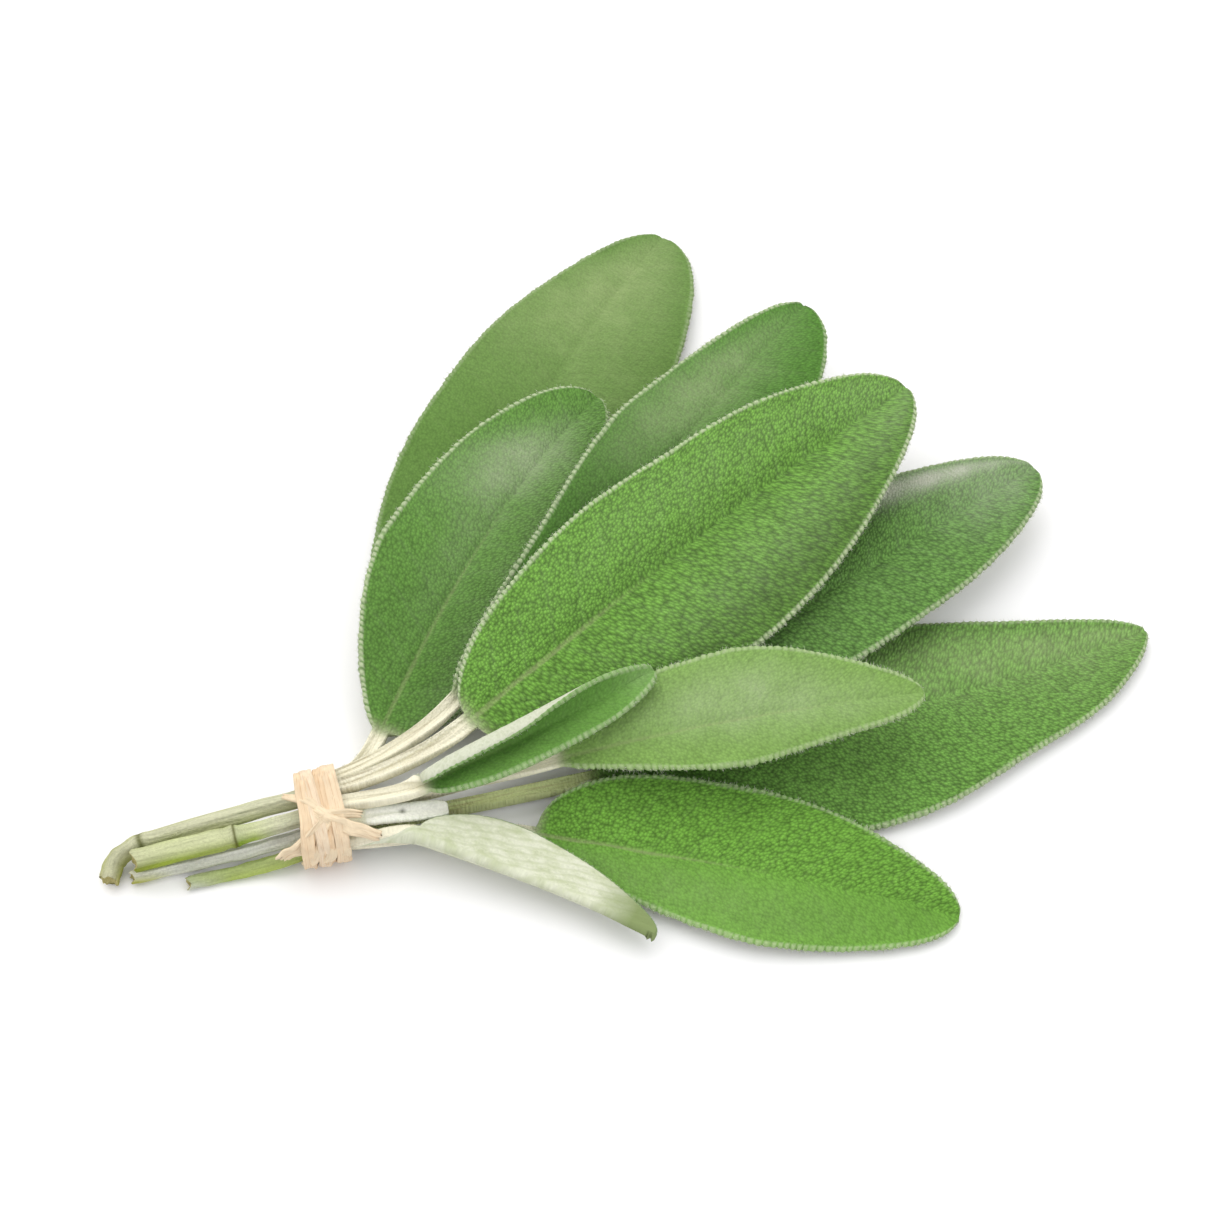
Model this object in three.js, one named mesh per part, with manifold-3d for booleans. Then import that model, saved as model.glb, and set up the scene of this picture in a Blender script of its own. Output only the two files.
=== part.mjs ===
// A small bunch of garden sage: eleven leaves and four cut stems, held by a raffia tie.
// Millimetres, +Z up. The bunch lies on the plane z = 0 with its stems along X and its leaf tips
// towards +X. It is laid out from the middle of the tie, and moved at the end so that the origin
// is under the middle of the whole bunch.
import * as THREE from 'three';
import Module from 'manifold-3d';
import { mergeVertices } from 'three/addons/utils/BufferGeometryUtils.js';

const { lerp, smoothstep, degToRad } = THREE.MathUtils;
const UP = new THREE.Vector3(0, 0, 1);

// The point of the layout that lies under the middle of the whole bunch.
const MIDDLE = new THREE.Vector3(39.4, 22.5, 0);

// ---------------------------------------------------------------- leaves: shared dimensions

const BLADE_THICKNESS = 0.75;
const MARGIN_THICKNESS = 0.6;
const TIP_HALF_WIDTH = 0.4;
const RIB_HALF_WIDTH_AT_TIP = 0.5;
const RIB_DEPTH_AT_TIP = 0.1;
const GROOVE_DEPTH = 0.15;
const TOOTH_PITCH = 1.6;
const TOOTH_HEIGHT = 0.3;

const STALK_THICKNESS = 1.25;
const STALK_HALF_WIDTH_IN_TIE = 0.7;
const STALK_FOLD = 8;
const STALK_CURL = 35;
// How far out the corners of the stalk's underside lie, as a share of its half width.
const STALK_UNDERSIDE = 0.5;
const STALK_START_X = 0.25;
const STALK_REACH = 0.35;

// How sharply the bumps of a margin fade out at its two ends.
const BUMP_FADE = 6;
// How far the wave of the left margin runs ahead of the midrib's, in turns; the right one is behind.
const WAVE_SHIFT = 0.2;

const BLADE_STATIONS = 15;
const STALK_STATIONS = 5;
// The end of the stalk over which its channel opens out into the flat foot of the blade.
const OPENING_START = -0.3;
const OPENING_END = 0.03;

// Each leaf: where its stalk starts in the tie (y, z of its upper face) and the heading at which it
// leaves (degrees to the left), the foot of its blade, its tip, how far the midrib rises above and
// swings left of the straight line between them (mm, at a third and at two thirds), the half width
// of its stalk, and how far it rolls about its midrib at the foot and at the tip (degrees, left side
// up). Each half: its width, where along the blade that is, how round its foot and tip are (2 is an
// ellipse, less is more pointed), and at the foot and at the tip the angle at which it leaves the
// midrib and the angle through which it curls up from there to its margin. The curl lessens as the
// blade narrows towards its tip. bumps: how far the margin runs out and in, how many times along the
// blade, and where it starts (turns). wave: the height of the slow wave of the margins,
// how many waves lie along the blade, and where in a wave it starts (turns).
const LEAVES = [
  {
    name: 'leaf_back', color: 0x83a35e, slot: [2.5, 2.8], heading: 3,
    foot: [10.9, 12.5, 2.2], tip: [65.6, 78.4, 1.0], rise: [1.8, 4.0], swing: [3, 3.5],
    stalk: 0.85, roll: [0, 0], wave: [0.6, 1.4, 0.1],
    left: {
      width: 13.3, widest: 0.5, round: [1.5, 1.6], fold: [4, 8], curl: [0, -30], bumps: [0.25, 3, 0.1],
    },
    right: {
      width: 13.9, widest: 0.6, round: [1.9, 2.0], fold: [2, 6], curl: [-4, -26], bumps: [0.2, 2, 0],
    },
  },
  {
    name: 'leaf_left', color: 0x70965a, slot: [3.45, 4.5], heading: 2,
    foot: [9.8, 9.4, 4.8], tip: [48.5, 50.2, 6.4], rise: [1.5, 3.5], swing: [2, 2.5],
    stalk: 0.85, roll: [10, 6], wave: [0.4, 1.6, 0.3],
    left: {
      width: 11.3, widest: 0.42, round: [1.3, 2.0], fold: [6, 12], curl: [0, -42], bumps: [0.2, 2, 0.75],
    },
    right: {
      width: 11.0, widest: 0.45, round: [2.0, 1.6], fold: [4, 8], curl: [-6, -34], bumps: [0.2, 2, 0],
    },
  },
  {
    name: 'leaf_upper', color: 0x7a9a62, slot: [3.3, 6.25], heading: 8,
    foot: [19.8, 10.2, 7.2], tip: [78.2, 56.4, 8], rise: [2, 4], swing: [-1, -1.5],
    stalk: 0.90, roll: [8, 4], wave: [0.4, 1.5, 0.6],
    left: {
      width: 8.9, widest: 0.6, round: [1.3, 1.45], fold: [6, 8], curl: [0, -30], bumps: [0.3, 2, 0.15],
    },
    right: {
      width: 11.8, widest: 0.6, round: [2.0, 1.9], fold: [2, 6], curl: [-6, -26], bumps: [0.15, 2, 0],
    },
  },
  {
    name: 'leaf_center', color: 0x73a04d, slot: [1.55, 7.0], heading: 5,
    foot: [20, 5.2, 9], tip: [85.2, 36.7, 12], rise: [2, 3], swing: [0, 0],
    stalk: 1.10, roll: [12, -2], wave: [0.5, 1.5, 0.8],
    left: {
      width: 12.3, widest: 0.45, round: [1.8, 2.0], fold: [4, 8], curl: [-8, -22], bumps: [0.15, 3, 0],
    },
    right: {
      width: 15.2, widest: 0.45, round: [1.8, 1.65], fold: [2, 6], curl: [-14, -26], bumps: [0.25, 1.5, 0.4],
    },
  },
  {
    name: 'leaf_right', color: 0x608e42, slot: [0.75, 3.0], heading: 3,
    foot: [30, 1.6, 5], tip: [98.7, 24.7, 5.5], rise: [1.7, 2], swing: [-2.5, -1],
    stalk: 0.85, roll: [0, 0], wave: [0.4, 1.3, 0.2],
    left: {
      width: 13.2, widest: 0.63, round: [2.0, 1.5], fold: [8, 8], curl: [-10, -54], bumps: [0.2, 3, 0],
    },
    right: {
      width: 9.5, widest: 0.55, round: [2.0, 2.0], fold: [6, 4], curl: [-6, -20], bumps: [0.15, 2.5, 0.2],
    },
  },
  {
    name: 'leaf_far_right', color: 0x6f9453, slot: [-1.15, 2.6], heading: -3,
    foot: [33, -2.3, 2.0], tip: [104.7, -0.1, 1.4], rise: [0.5, 1], swing: [-1.5, -4],
    stalk: 0.85, roll: [3, 0], wave: [0.5, 1.6, 0.5],
    left: {
      width: 11.9, widest: 0.6, round: [2.0, 1.25], fold: [2, 5], curl: [0, -28], bumps: [0.3, 2.5, 0.7],
    },
    right: {
      width: 14.8, widest: 0.42, round: [2.0, 1.45], fold: [0, 3], curl: [0, -14], bumps: [0.4, 2.8, 0.75],
    },
  },
  {
    name: 'leaf_velvet', color: 0x9db17b, slot: [0.1, 4.95], heading: 4,
    foot: [29, -2.8, 8.8], tip: [72.7, -6.8, 10.5], rise: [2, 2], swing: [0, 0],
    stalk: 0.80, roll: [12, 4], wave: [0.35, 1.6, 0.0],
    left: {
      width: 9.1, widest: 0.5, round: [1.8, 1.4], fold: [2, 6], curl: [0, -18], bumps: [0.15, 2, 0],
    },
    right: {
      width: 5.7, widest: 0.5, round: [1.3, 1.6], fold: [8, 8], curl: [0, -20], bumps: [0.35, 1.5, 0.7],
    },
  },
  {
    name: 'leaf_curled', color: 0x6c9a4a, slot: [-0.35, 7.25], heading: -2,
    foot: [13.1, -1.4, 8.4], tip: [42.0, 3.2, 13.6], rise: [1, 0.8], swing: [-1, -1],
    stalk: 1.00, roll: [6, 6], columns: 5, wave: [0.2, 1.5, 0.0],
    left: {
      width: 4.0, widest: 0.42, round: [2.6, 1.3], fold: [35, 22], curl: [155, 120], bumps: [0, 1, 0],
    },
    right: {
      width: 4.2, widest: 0.42, round: [1.7, 1.8], fold: [10, 10], curl: [20, 10], bumps: [0.15, 1.5, 0],
    },
  },
  {
    name: 'leaf_front', color: 0x66993c, slot: [-2.9, 3.2], heading: -13,
    foot: [24.2, -8.2, 2.3], tip: [69.2, -31.9, 1.0], rise: [1, 1.5], swing: [0, 0.5],
    stalk: 0.75, roll: [10, 3], wave: [0.4, 1.5, 0.7],
    left: {
      width: 10.5, widest: 0.5, round: [2.2, 1.6], fold: [6, 4], curl: [-4, -20], bumps: [0.2, 2, 0],
    },
    right: {
      width: 9.0, widest: 0.55, round: [1.4, 1.8], fold: [8, 6], curl: [-4, -14], bumps: [0.2, 1.5, 0.5],
    },
  },
  {
    name: 'leaf_folded', color: 0xd2d4c0, slot: [-3.9, 4.85], heading: -6,
    foot: [10.4, -6.1, 4.8], tip: [33.9, -25.6, 2.8], rise: [0, 0], swing: [0.4, 1],
    stalk: 1.00, roll: [-96, -88], wave: [0.3, 1.2, 0.2],
    left: {
      width: 3.5, widest: 0.4, round: [1.8, 1.4], fold: [70, 76], curl: [4, 4], bumps: [0.1, 2, 0.5],
    },
    right: {
      width: 5.2, widest: 0.4, round: [1.8, 1.4], fold: [70, 76], curl: [4, 4], bumps: [0.1, 2, 0],
    },
  },
  {
    name: 'leaf_young', color: 0xdadec5, slot: [-2.2, 6.2], heading: -5,
    foot: [5, -2.45, 5.9], tip: [14.8, -3.7, 5.5], rise: [0, 0], swing: [0, 0],
    stalk: 0.80, roll: [0, 0], smooth: true, wave: [0, 1, 0],
    left: {
      width: 1.1, widest: 0.6, round: [2, 2.5], fold: [8, 4], curl: [10, 0], bumps: [0, 1, 0],
    },
    right: {
      width: 1.1, widest: 0.6, round: [2, 2.5], fold: [8, 4], curl: [10, 0], bumps: [0, 1, 0],
    },
  },
];

// ---------------------------------------------------------------- stems and tie

const STEM_SIDES = 16;
const STEM_SQUARENESS = 0.09;

// Each stem: the points of its centre line from its cut end to inside the tie, its half thickness
// along them, how far its square section is turned (degrees) and where its node swells it.
const STEMS = [
  {
    name: 'stem_upper', color: 0xb9bd92, turn: 10,
    points: [
      [-25.7, 0.0, 1.3], [-24.4, 2.1, 1.7], [-22.3, 2.95, 2.3], [-13.7, 3.1, 3.5], [-0.25, 3.0, 4.4],
    ],
    half: [1.15, 1.15, 1.1, 1.05, 1.05], node: 0.55, swell: 0.2,
  },
  {
    name: 'stem_square', color: 0xb4bf78, turn: 45,
    points: [[-22.3, 0.5, 3.4], [-11.9, 0.4, 3.7], [-7.8, 0.2, 4.1], [-0.25, 0.0, 5.0]],
    half: [1.35, 1.3, 1.0, 0.95], node: 0.47, swell: 0.15,
  },
  {
    name: 'stem_pale', color: 0xdcdccd, turn: 0,
    points: [[-22.9, -0.1, 0.95], [-14.8, -0.4, 1.1], [-7.0, -0.9, 1.9], [-0.25, -1.0, 2.6]],
    half: [0.8, 0.8, 0.85, 0.9], node: 0, swell: 0,
  },
  {
    name: 'stem_lower', color: 0x97a966, turn: 0,
    points: [[-16.7, -2.5, 0.7], [-11, -2.7, 0.7], [-5.5, -3.0, 1.5], [-0.25, -3.1, 2.7]],
    half: [0.8, 0.85, 0.9, 0.9], node: 0, swell: 0,
  },
];
const CUT_ROUGHNESS = 0.25;

// The raffia: the space that its turns leave for the bundle, its thickness, and the turns side by
// side along the bundle, each with its two edges and how far it leans over that length.
const BUNDLE = {
  middle: new THREE.Vector3(0, -0.1, 4.25), halfWidth: 5.15, halfHeight: 3.55, power: 3.0,
};
const RAFFIA_THICKNESS = 0.5;
const RAFFIA_STEPS = 36;
const TURNS = [
  { from: -2.5, to: -0.9, lean: 0.8 },
  { from: -1.3, to: 0.2, lean: 0.1 },
  { from: -0.2, to: 1.3, lean: 0.7 },
  { from: 1.0, to: 2.8, lean: 0.3 },
];
// Strips that lie over the turns and run out from the knot: points, and the width at each of them.
const STRIPS = [
  {
    points: [[2.0, -0.2, 8.05], [0.6, -2.5, 7.95], [-0.9, -4.6, 6.6]],
    widths: [1.3, 1.9, 1.5],
  },
  {
    points: [[-1.2, -1.0, 8.1], [0.3, -2.8, 8.1], [1.7, -4.4, 6.9]],
    widths: [1.3, 1.9, 1.5],
  },
  {
    points: [[0.5, -3.1, 8.0], [-1.4, -4.3, 7.4], [-3.4, -4.6, 5.5], [-5.5, -4.1, 3.5]],
    widths: [1.5, 1.7, 2.0, 2.1],
  },
  {
    points: [[0.0, -2.9, 8.1], [1.6, -3.8, 7.9], [3.2, -4.8, 7.5], [6.0, -6.2, 6.6]],
    widths: [1.5, 1.6, 1.7, 1.5],
  },
  {
    points: [[-0.4, -2.5, 8.2], [1.6, -2.7, 8.3], [3.2, -2.9, 8.0], [4.6, -3.1, 7.5]],
    widths: [1.2, 1.2, 1.1, 0.8],
  },
  {
    points: [[0.6, -2.3, 8.15], [-1.4, 0.2, 8.3], [-3.8, 2.3, 7.1]],
    widths: [1.2, 1.1, 0.9],
  },
  {
    points: [[0.1, -3.3, 7.8], [-1.4, -5.5, 5.2], [-2.6, -5.2, 2.6], [-3.0, -4.4, 1.4]],
    widths: [1.3, 1.3, 1.2, 0.9],
  },
  {
    points: [[0.4, -3.3, 7.8], [0.2, -5.7, 5.0], [-0.6, -5.5, 2.6], [-0.9, -4.9, 1.3]],
    widths: [1.3, 1.4, 1.3, 1.0],
  },
  {
    points: [[0.8, -3.5, 7.7], [1.8, -5.6, 5.0], [1.6, -5.5, 2.8], [1.2, -4.9, 1.4]],
    widths: [1.3, 1.4, 1.3, 1.1],
  },
];
const STRIP_STEPS = 8;

// ---------------------------------------------------------------- closed meshes from rings

/** Collects vertices and triangles, and gives them as one geometry. */
class MeshBuilder {
  constructor() {
    this.positions = [];
    this.triangles = [];
  }

  vertex(point) {
    this.positions.push(point.x, point.y, point.z);
    return this.positions.length / 3 - 1;
  }

  triangle(a, b, c) {
    this.triangles.push(a, b, c);
  }

  /** Fills between two lines of vertices that run side by side, line b to the left of line a. */
  sew(a, b, firstOnTie) {
    const stepsA = a.length - 1;
    const stepsB = b.length - 1;
    let i = 0;
    let j = 0;
    while (i < stepsA || j < stepsB) {
      const nextA = (i + 0.5) / stepsA;
      const nextB = (j + 0.5) / stepsB;
      const takeA = j === stepsB || (i < stepsA && (nextA < nextB || (nextA === nextB && firstOnTie)));
      if (takeA) {
        this.triangle(a[i], a[i + 1], b[j]);
        i += 1;
      } else {
        this.triangle(a[i], b[j + 1], b[j]);
        j += 1;
      }
    }
  }

  /** Closes one end of a tube whose ring runs along its upper face and back along its lower one. */
  cap(ring, facesForward) {
    const half = ring.length / 2;
    for (let k = 0; k < half - 1; k += 1) {
      const quad = [ring[k], ring[k + 1], ring[ring.length - 2 - k], ring[ring.length - 1 - k]];
      const [a, b, c, d] = facesForward ? quad : [quad[3], quad[2], quad[1], quad[0]];
      this.triangle(a, c, b);
      this.triangle(a, d, c);
    }
  }

  geometry() {
    const geometry = new THREE.BufferGeometry();
    geometry.setAttribute('position', new THREE.Float32BufferAttribute(this.positions, 3));
    geometry.setIndex(this.triangles);
    return geometry;
  }
}

/** A closed tube through rings of points; each ring runs counterclockwise seen from its far end. */
function tubeThroughRings(rings) {
  const mesh = new MeshBuilder();
  const rows = rings.map((ring) => ring.map((point) => mesh.vertex(point)));
  const sides = rows[0].length;
  for (let r = 0; r < rows.length - 1; r += 1) {
    for (let k = 0; k < sides; k += 1) {
      const next = (k + 1) % sides;
      mesh.sew([rows[r][next], rows[r + 1][next]], [rows[r][k], rows[r + 1][k]], true);
    }
  }
  for (const [row, forward] of [[rows[0], false], [rows[rows.length - 1], true]]) {
    const points = row.map((index) => new THREE.Vector3().fromArray(mesh.positions, index * 3));
    const middle = points.reduce((sum, point) => sum.add(point), new THREE.Vector3());
    const centre = mesh.vertex(middle.divideScalar(sides));
    for (let k = 0; k < sides; k += 1) {
      const next = (k + 1) % sides;
      if (forward) mesh.triangle(centre, row[k], row[next]);
      else mesh.triangle(centre, row[next], row[k]);
    }
  }
  return mesh.geometry();
}

// ---------------------------------------------------------------- leaves

/** The two curves of a leaf's centre line: its stalk, from the tie, and its midrib. */
function centreLines(leaf) {
  const foot = new THREE.Vector3(...leaf.foot);
  const tip = new THREE.Vector3(...leaf.tip);
  const chord = tip.clone().sub(foot);
  const left = UP.clone().cross(chord).normalize();
  const control = (share, index) => foot.clone()
    .addScaledVector(chord, share)
    .addScaledVector(UP, leaf.rise[index])
    .addScaledVector(left, leaf.swing[index]);
  const midrib = new THREE.CubicBezierCurve3(foot, control(1 / 3, 0), control(2 / 3, 1), tip);

  const start = new THREE.Vector3(STALK_START_X, ...leaf.slot);
  const reach = STALK_REACH * start.distanceTo(foot);
  const heading = degToRad(leaf.heading);
  const ahead = new THREE.Vector3(Math.cos(heading), Math.sin(heading), 0);
  const leaving = start.clone().addScaledVector(ahead, reach);
  const arriving = foot.clone().addScaledVector(midrib.getTangent(0), -reach);
  const stalk = new THREE.CubicBezierCurve3(start, leaving, arriving, foot);
  return { stalk, midrib };
}

/** Half width of the outline at distance t along the blade, 0 at its foot and 1 at its tip. */
function outlineHalfWidth(leaf, side, t) {
  const towardsTip = t > side.widest;
  const x = towardsTip ? (t - side.widest) / (1 - side.widest) : 1 - t / side.widest;
  const power = side.round[towardsTip ? 1 : 0];
  const end = towardsTip ? TIP_HALF_WIDTH : leaf.stalk;
  const [height, count, start] = side.bumps;
  const bump = height * Math.sin(2 * Math.PI * (count * t + start)) * (1 - (2 * t - 1) ** BUMP_FADE);
  return lerp(end, side.width, Math.max(0, 1 - x ** power) ** (1 / power)) + bump;
}

/** The section of a leaf at u: -1 in the tie, 0 at the foot of the blade, 1 at the tip. */
function section(leaf, side, u) {
  const t = Math.max(u, 0);
  const width = u < 0 ? lerp(STALK_HALF_WIDTH_IN_TIE, leaf.stalk, u + 1) : outlineHalfWidth(leaf, side, t);
  const narrowing = t > side.widest ? width / side.width : 1;
  const opening = smoothstep(u, OPENING_START, OPENING_END);
  return {
    width,
    fold: degToRad(lerp(STALK_FOLD, lerp(...side.fold, t), opening)),
    curl: degToRad(lerp(STALK_CURL, narrowing * lerp(...side.curl, t), opening)),
  };
}

/** A point of the upper face: u along the leaf, c across it from -1, the right margin, to 1. */
function facePoint(leaf, lines, u, c) {
  const curve = u < 0 ? lines.stalk : lines.midrib;
  const along = u < 0 ? u + 1 : u;
  const tangent = curve.getTangent(along);
  const left = UP.clone().cross(tangent).normalize();
  const normal = tangent.clone().cross(left);
  const roll = degToRad(u < 0 ? leaf.roll[0] * smoothstep(along, 0, 1) : lerp(...leaf.roll, along));
  left.applyAxisAngle(tangent, roll);
  normal.applyAxisAngle(tangent, roll);

  const side = c < 0 ? leaf.right : leaf.left;
  const { width, fold, curl } = section(leaf, side, u);
  const share = Math.abs(c);
  const bend = Math.abs(curl) < 0.01 ? 0.01 : curl;
  const across = (width / bend) * (Math.sin(fold + bend * share) - Math.sin(fold));
  const above = (width / bend) * (Math.cos(fold) - Math.cos(fold + bend * share));
  const groove = GROOVE_DEPTH * Math.max(0, 1 - share * width);
  const [height, count, start] = leaf.wave;
  const swell = Math.sin(2 * Math.PI * (count * u + start + WAVE_SHIFT * Math.sign(c)));
  const wave = height * swell * (share * width / side.width) ** 2;
  return curve.getPoint(along)
    .addScaledVector(left, Math.sign(c) * across)
    .addScaledVector(normal, above - groove + wave);
}

function faceNormal(leaf, lines, u, c) {
  const step = 0.004;
  const before = Math.max(u - step, -1);
  const after = Math.min(u + step, 1);
  const forward = facePoint(leaf, lines, after, c).sub(facePoint(leaf, lines, before, c));
  const across = facePoint(leaf, lines, u, c + step).sub(facePoint(leaf, lines, u, c - step));
  return forward.cross(across).normalize();
}

function ribHalfWidth(leaf, u) {
  return u < 0 ? leaf.stalk : lerp(leaf.stalk, RIB_HALF_WIDTH_AT_TIP, u);
}

/** Thickness below the upper face: a thin blade with a rib, or the full stalk. */
function thickness(leaf, u, c, width) {
  const blade = lerp(BLADE_THICKNESS, MARGIN_THICKNESS, c * c);
  const ribDepth = lerp(STALK_THICKNESS - BLADE_THICKNESS, RIB_DEPTH_AT_TIP, Math.max(u, 0));
  const fromRib = Math.abs(c) * width / ribHalfWidth(leaf, u);
  return blade + ribDepth * Math.max(0, 1 - fromRib * fromRib);
}

/** A point of the lower face, which is narrower than the upper one along the stalk. */
function lowerPoint(leaf, lines, u, c) {
  const opening = smoothstep(u, OPENING_START, OPENING_END);
  const place = c * lerp(STALK_UNDERSIDE, 1, opening);
  const { width } = section(leaf, c < 0 ? leaf.right : leaf.left, u);
  const depth = thickness(leaf, u, THREE.MathUtils.clamp(place, -1, 1), width);
  return facePoint(leaf, lines, u, place).addScaledVector(faceNormal(leaf, lines, u, place), -depth);
}

/** Stations along a leaf, closer together near the two ends of the blade. */
function stations() {
  const list = [];
  for (let i = 0; i < STALK_STATIONS; i += 1) list.push(i / STALK_STATIONS - 1);
  for (let i = 0; i <= BLADE_STATIONS; i += 1) {
    list.push((1 - Math.cos(Math.PI * i / BLADE_STATIONS)) / 2);
  }
  return list;
}

/** Places across one half at u: the midrib, the edge of the rib, and on to the margin. */
function columnShare(leaf, side, u, column) {
  if (column === 0) return 0;
  const columns = leaf.columns ?? 3;
  const rib = Math.min(0.5, ribHalfWidth(leaf, u) / section(leaf, side, u).width);
  return lerp(rib, 1, (column - 1) / (columns - 1));
}

/** The margin between two stations as a line of small round teeth. */
function marginPlaces(leaf, lines, side, sign, u0, u1, firstTooth) {
  const length = facePoint(leaf, lines, u0, sign).distanceTo(facePoint(leaf, lines, u1, sign));
  const steps = u1 <= 0 || leaf.smooth ? 1 : Math.max(1, Math.round(2 * length / TOOTH_PITCH));
  const places = [];
  for (let k = 0; k <= steps; k += 1) {
    const u = lerp(u0, u1, k / steps);
    const isTooth = (firstTooth + k) % 2 === 1 && u > 0.02 && u < 0.99;
    const height = isTooth && !leaf.smooth ? TOOTH_HEIGHT : 0;
    places.push([u, sign * (1 + height / section(leaf, side, u).width)]);
  }
  return places;
}

/** The lines of places that run along one column of the leaf, one for each pair of stations. */
function columnPlaces(leaf, lines, column) {
  const columns = leaf.columns ?? 3;
  const sign = Math.sign(column);
  const side = sign < 0 ? leaf.right : leaf.left;
  const list = stations();
  const segments = [];
  let teeth = 0;
  for (let i = 0; i < list.length - 1; i += 1) {
    if (Math.abs(column) === columns) {
      const places = marginPlaces(leaf, lines, side, sign, list[i], list[i + 1], teeth);
      teeth += places.length - 1;
      segments.push(places);
    } else {
      const share = (u) => sign * columnShare(leaf, side, u, Math.abs(column));
      segments.push([[list[i], share(list[i])], [list[i + 1], share(list[i + 1])]]);
    }
  }
  return segments;
}

/** Adds the vertices of one column, on the upper or the lower face, shared between segments. */
function addColumn(mesh, leaf, lines, column, isLower) {
  let last = null;
  return columnPlaces(leaf, lines, column).map((places) => places.map(([u, c], k) => {
    if (k === 0 && last !== null) return last;
    last = mesh.vertex(isLower ? lowerPoint(leaf, lines, u, c) : facePoint(leaf, lines, u, c));
    return last;
  }));
}

/** One leaf, blade and stalk, as one closed solid. */
function leafGeometry(leaf) {
  const mesh = new MeshBuilder();
  const lines = centreLines(leaf);
  const columns = leaf.columns ?? 3;
  const ring = [];
  for (let k = -columns; k <= columns; k += 1) ring.push(addColumn(mesh, leaf, lines, k, false));
  for (let k = columns; k >= -columns; k -= 1) ring.push(addColumn(mesh, leaf, lines, k, true));
  ring.forEach((column, index) => {
    const next = ring[(index + 1) % ring.length];
    const isUpper = index < ring.length / 2;
    column.forEach((segment, i) => mesh.sew(segment, next[i], isUpper));
  });
  mesh.cap(ring.map((column) => column[0][0]), false);
  mesh.cap(ring.map((column) => column.at(-1).at(-1)), true);
  return mesh.geometry();
}

// ---------------------------------------------------------------- stems

/** One square stem with softened edges, a rough cut end and, on some, a swollen node. Where it
 * lies on the plane z = 0 it is pressed flat. */
function stemGeometry(stem) {
  const line = new THREE.CatmullRomCurve3(stem.points.map((point) => new THREE.Vector3(...point)));
  const steps = 14;
  const rings = [];
  for (let i = 0; i <= steps; i += 1) {
    const t = i / steps;
    const centre = line.getPoint(t);
    const tangent = line.getTangent(t);
    const left = UP.clone().cross(tangent).normalize();
    const normal = tangent.clone().cross(left);
    const place = t * (stem.half.length - 1);
    const index = Math.min(Math.floor(place), stem.half.length - 2);
    const swell = 1 + stem.swell * Math.exp(-(((t - stem.node) / 0.04) ** 2));
    const half = lerp(stem.half[index], stem.half[index + 1], place - index) * swell;
    const ring = [];
    for (let k = 0; k < STEM_SIDES; k += 1) {
      const angle = 2 * Math.PI * k / STEM_SIDES;
      const corner = Math.cos(4 * (angle - degToRad(stem.turn)));
      const radius = half * (1 + STEM_SQUARENESS * corner);
      const rough = i === 0 ? CUT_ROUGHNESS * Math.sin(3 * angle + 1) : 0;
      const point = centre.clone()
        .addScaledVector(left, radius * Math.cos(angle))
        .addScaledVector(normal, radius * Math.sin(angle))
        .addScaledVector(tangent, rough);
      ring.push(point.setZ(Math.max(point.z, 0)));
    }
    rings.push(ring);
  }
  return tubeThroughRings(rings);
}

// ---------------------------------------------------------------- raffia tie

/** A point round the bundle: angle 0 is towards +Y, a quarter turn is up. */
function roundBundle(angle, x, clearance) {
  const shape = (value) => Math.sign(value) * Math.abs(value) ** (2 / BUNDLE.power);
  const y = (BUNDLE.halfWidth + clearance) * shape(Math.cos(angle));
  const z = (BUNDLE.halfHeight + clearance) * shape(Math.sin(angle));
  return new THREE.Vector3(x, y, z).add(BUNDLE.middle);
}

/** One turn of the raffia: a flat band closed round the bundle. */
function turnGeometry(turn) {
  const mesh = new MeshBuilder();
  const rows = [];
  for (let i = 0; i < RAFFIA_STEPS; i += 1) {
    const angle = 2 * Math.PI * i / RAFFIA_STEPS;
    const shift = turn.lean * Math.cos(angle);
    const corners = [
      roundBundle(angle, turn.from + shift, 0),
      roundBundle(angle, turn.from + shift, RAFFIA_THICKNESS),
      roundBundle(angle, turn.to + shift, RAFFIA_THICKNESS),
      roundBundle(angle, turn.to + shift, 0),
    ];
    rows.push(corners.map((corner) => mesh.vertex(corner)));
  }
  rows.forEach((row, i) => {
    const next = rows[(i + 1) % rows.length];
    for (let k = 0; k < 4; k += 1) {
      const l = (k + 1) % 4;
      mesh.sew([row[k], next[k]], [row[l], next[l]], true);
    }
  });
  return mesh.geometry();
}

/** A flat strip whose broad side faces away from the middle of the bundle. */
function stripGeometry(strip) {
  const line = new THREE.CatmullRomCurve3(strip.points.map((point) => new THREE.Vector3(...point)));
  const rings = [];
  for (let i = 0; i <= STRIP_STEPS; i += 1) {
    const t = i / STRIP_STEPS;
    const centre = line.getPoint(t);
    const tangent = line.getTangent(t);
    const outward = centre.clone().sub(BUNDLE.middle).setX(0).normalize();
    const side = outward.clone().cross(tangent).normalize();
    const face = tangent.clone().cross(side);
    const place = t * (strip.widths.length - 1);
    const index = Math.min(Math.floor(place), strip.widths.length - 2);
    const half = lerp(strip.widths[index], strip.widths[index + 1], place - index) / 2;
    const thick = RAFFIA_THICKNESS / 2;
    rings.push([[-half, -thick], [half, -thick], [half, thick], [-half, thick]]
      .map(([across, above]) => centre.clone().addScaledVector(side, across).addScaledVector(face, above)));
  }
  return tubeThroughRings(rings);
}

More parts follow.
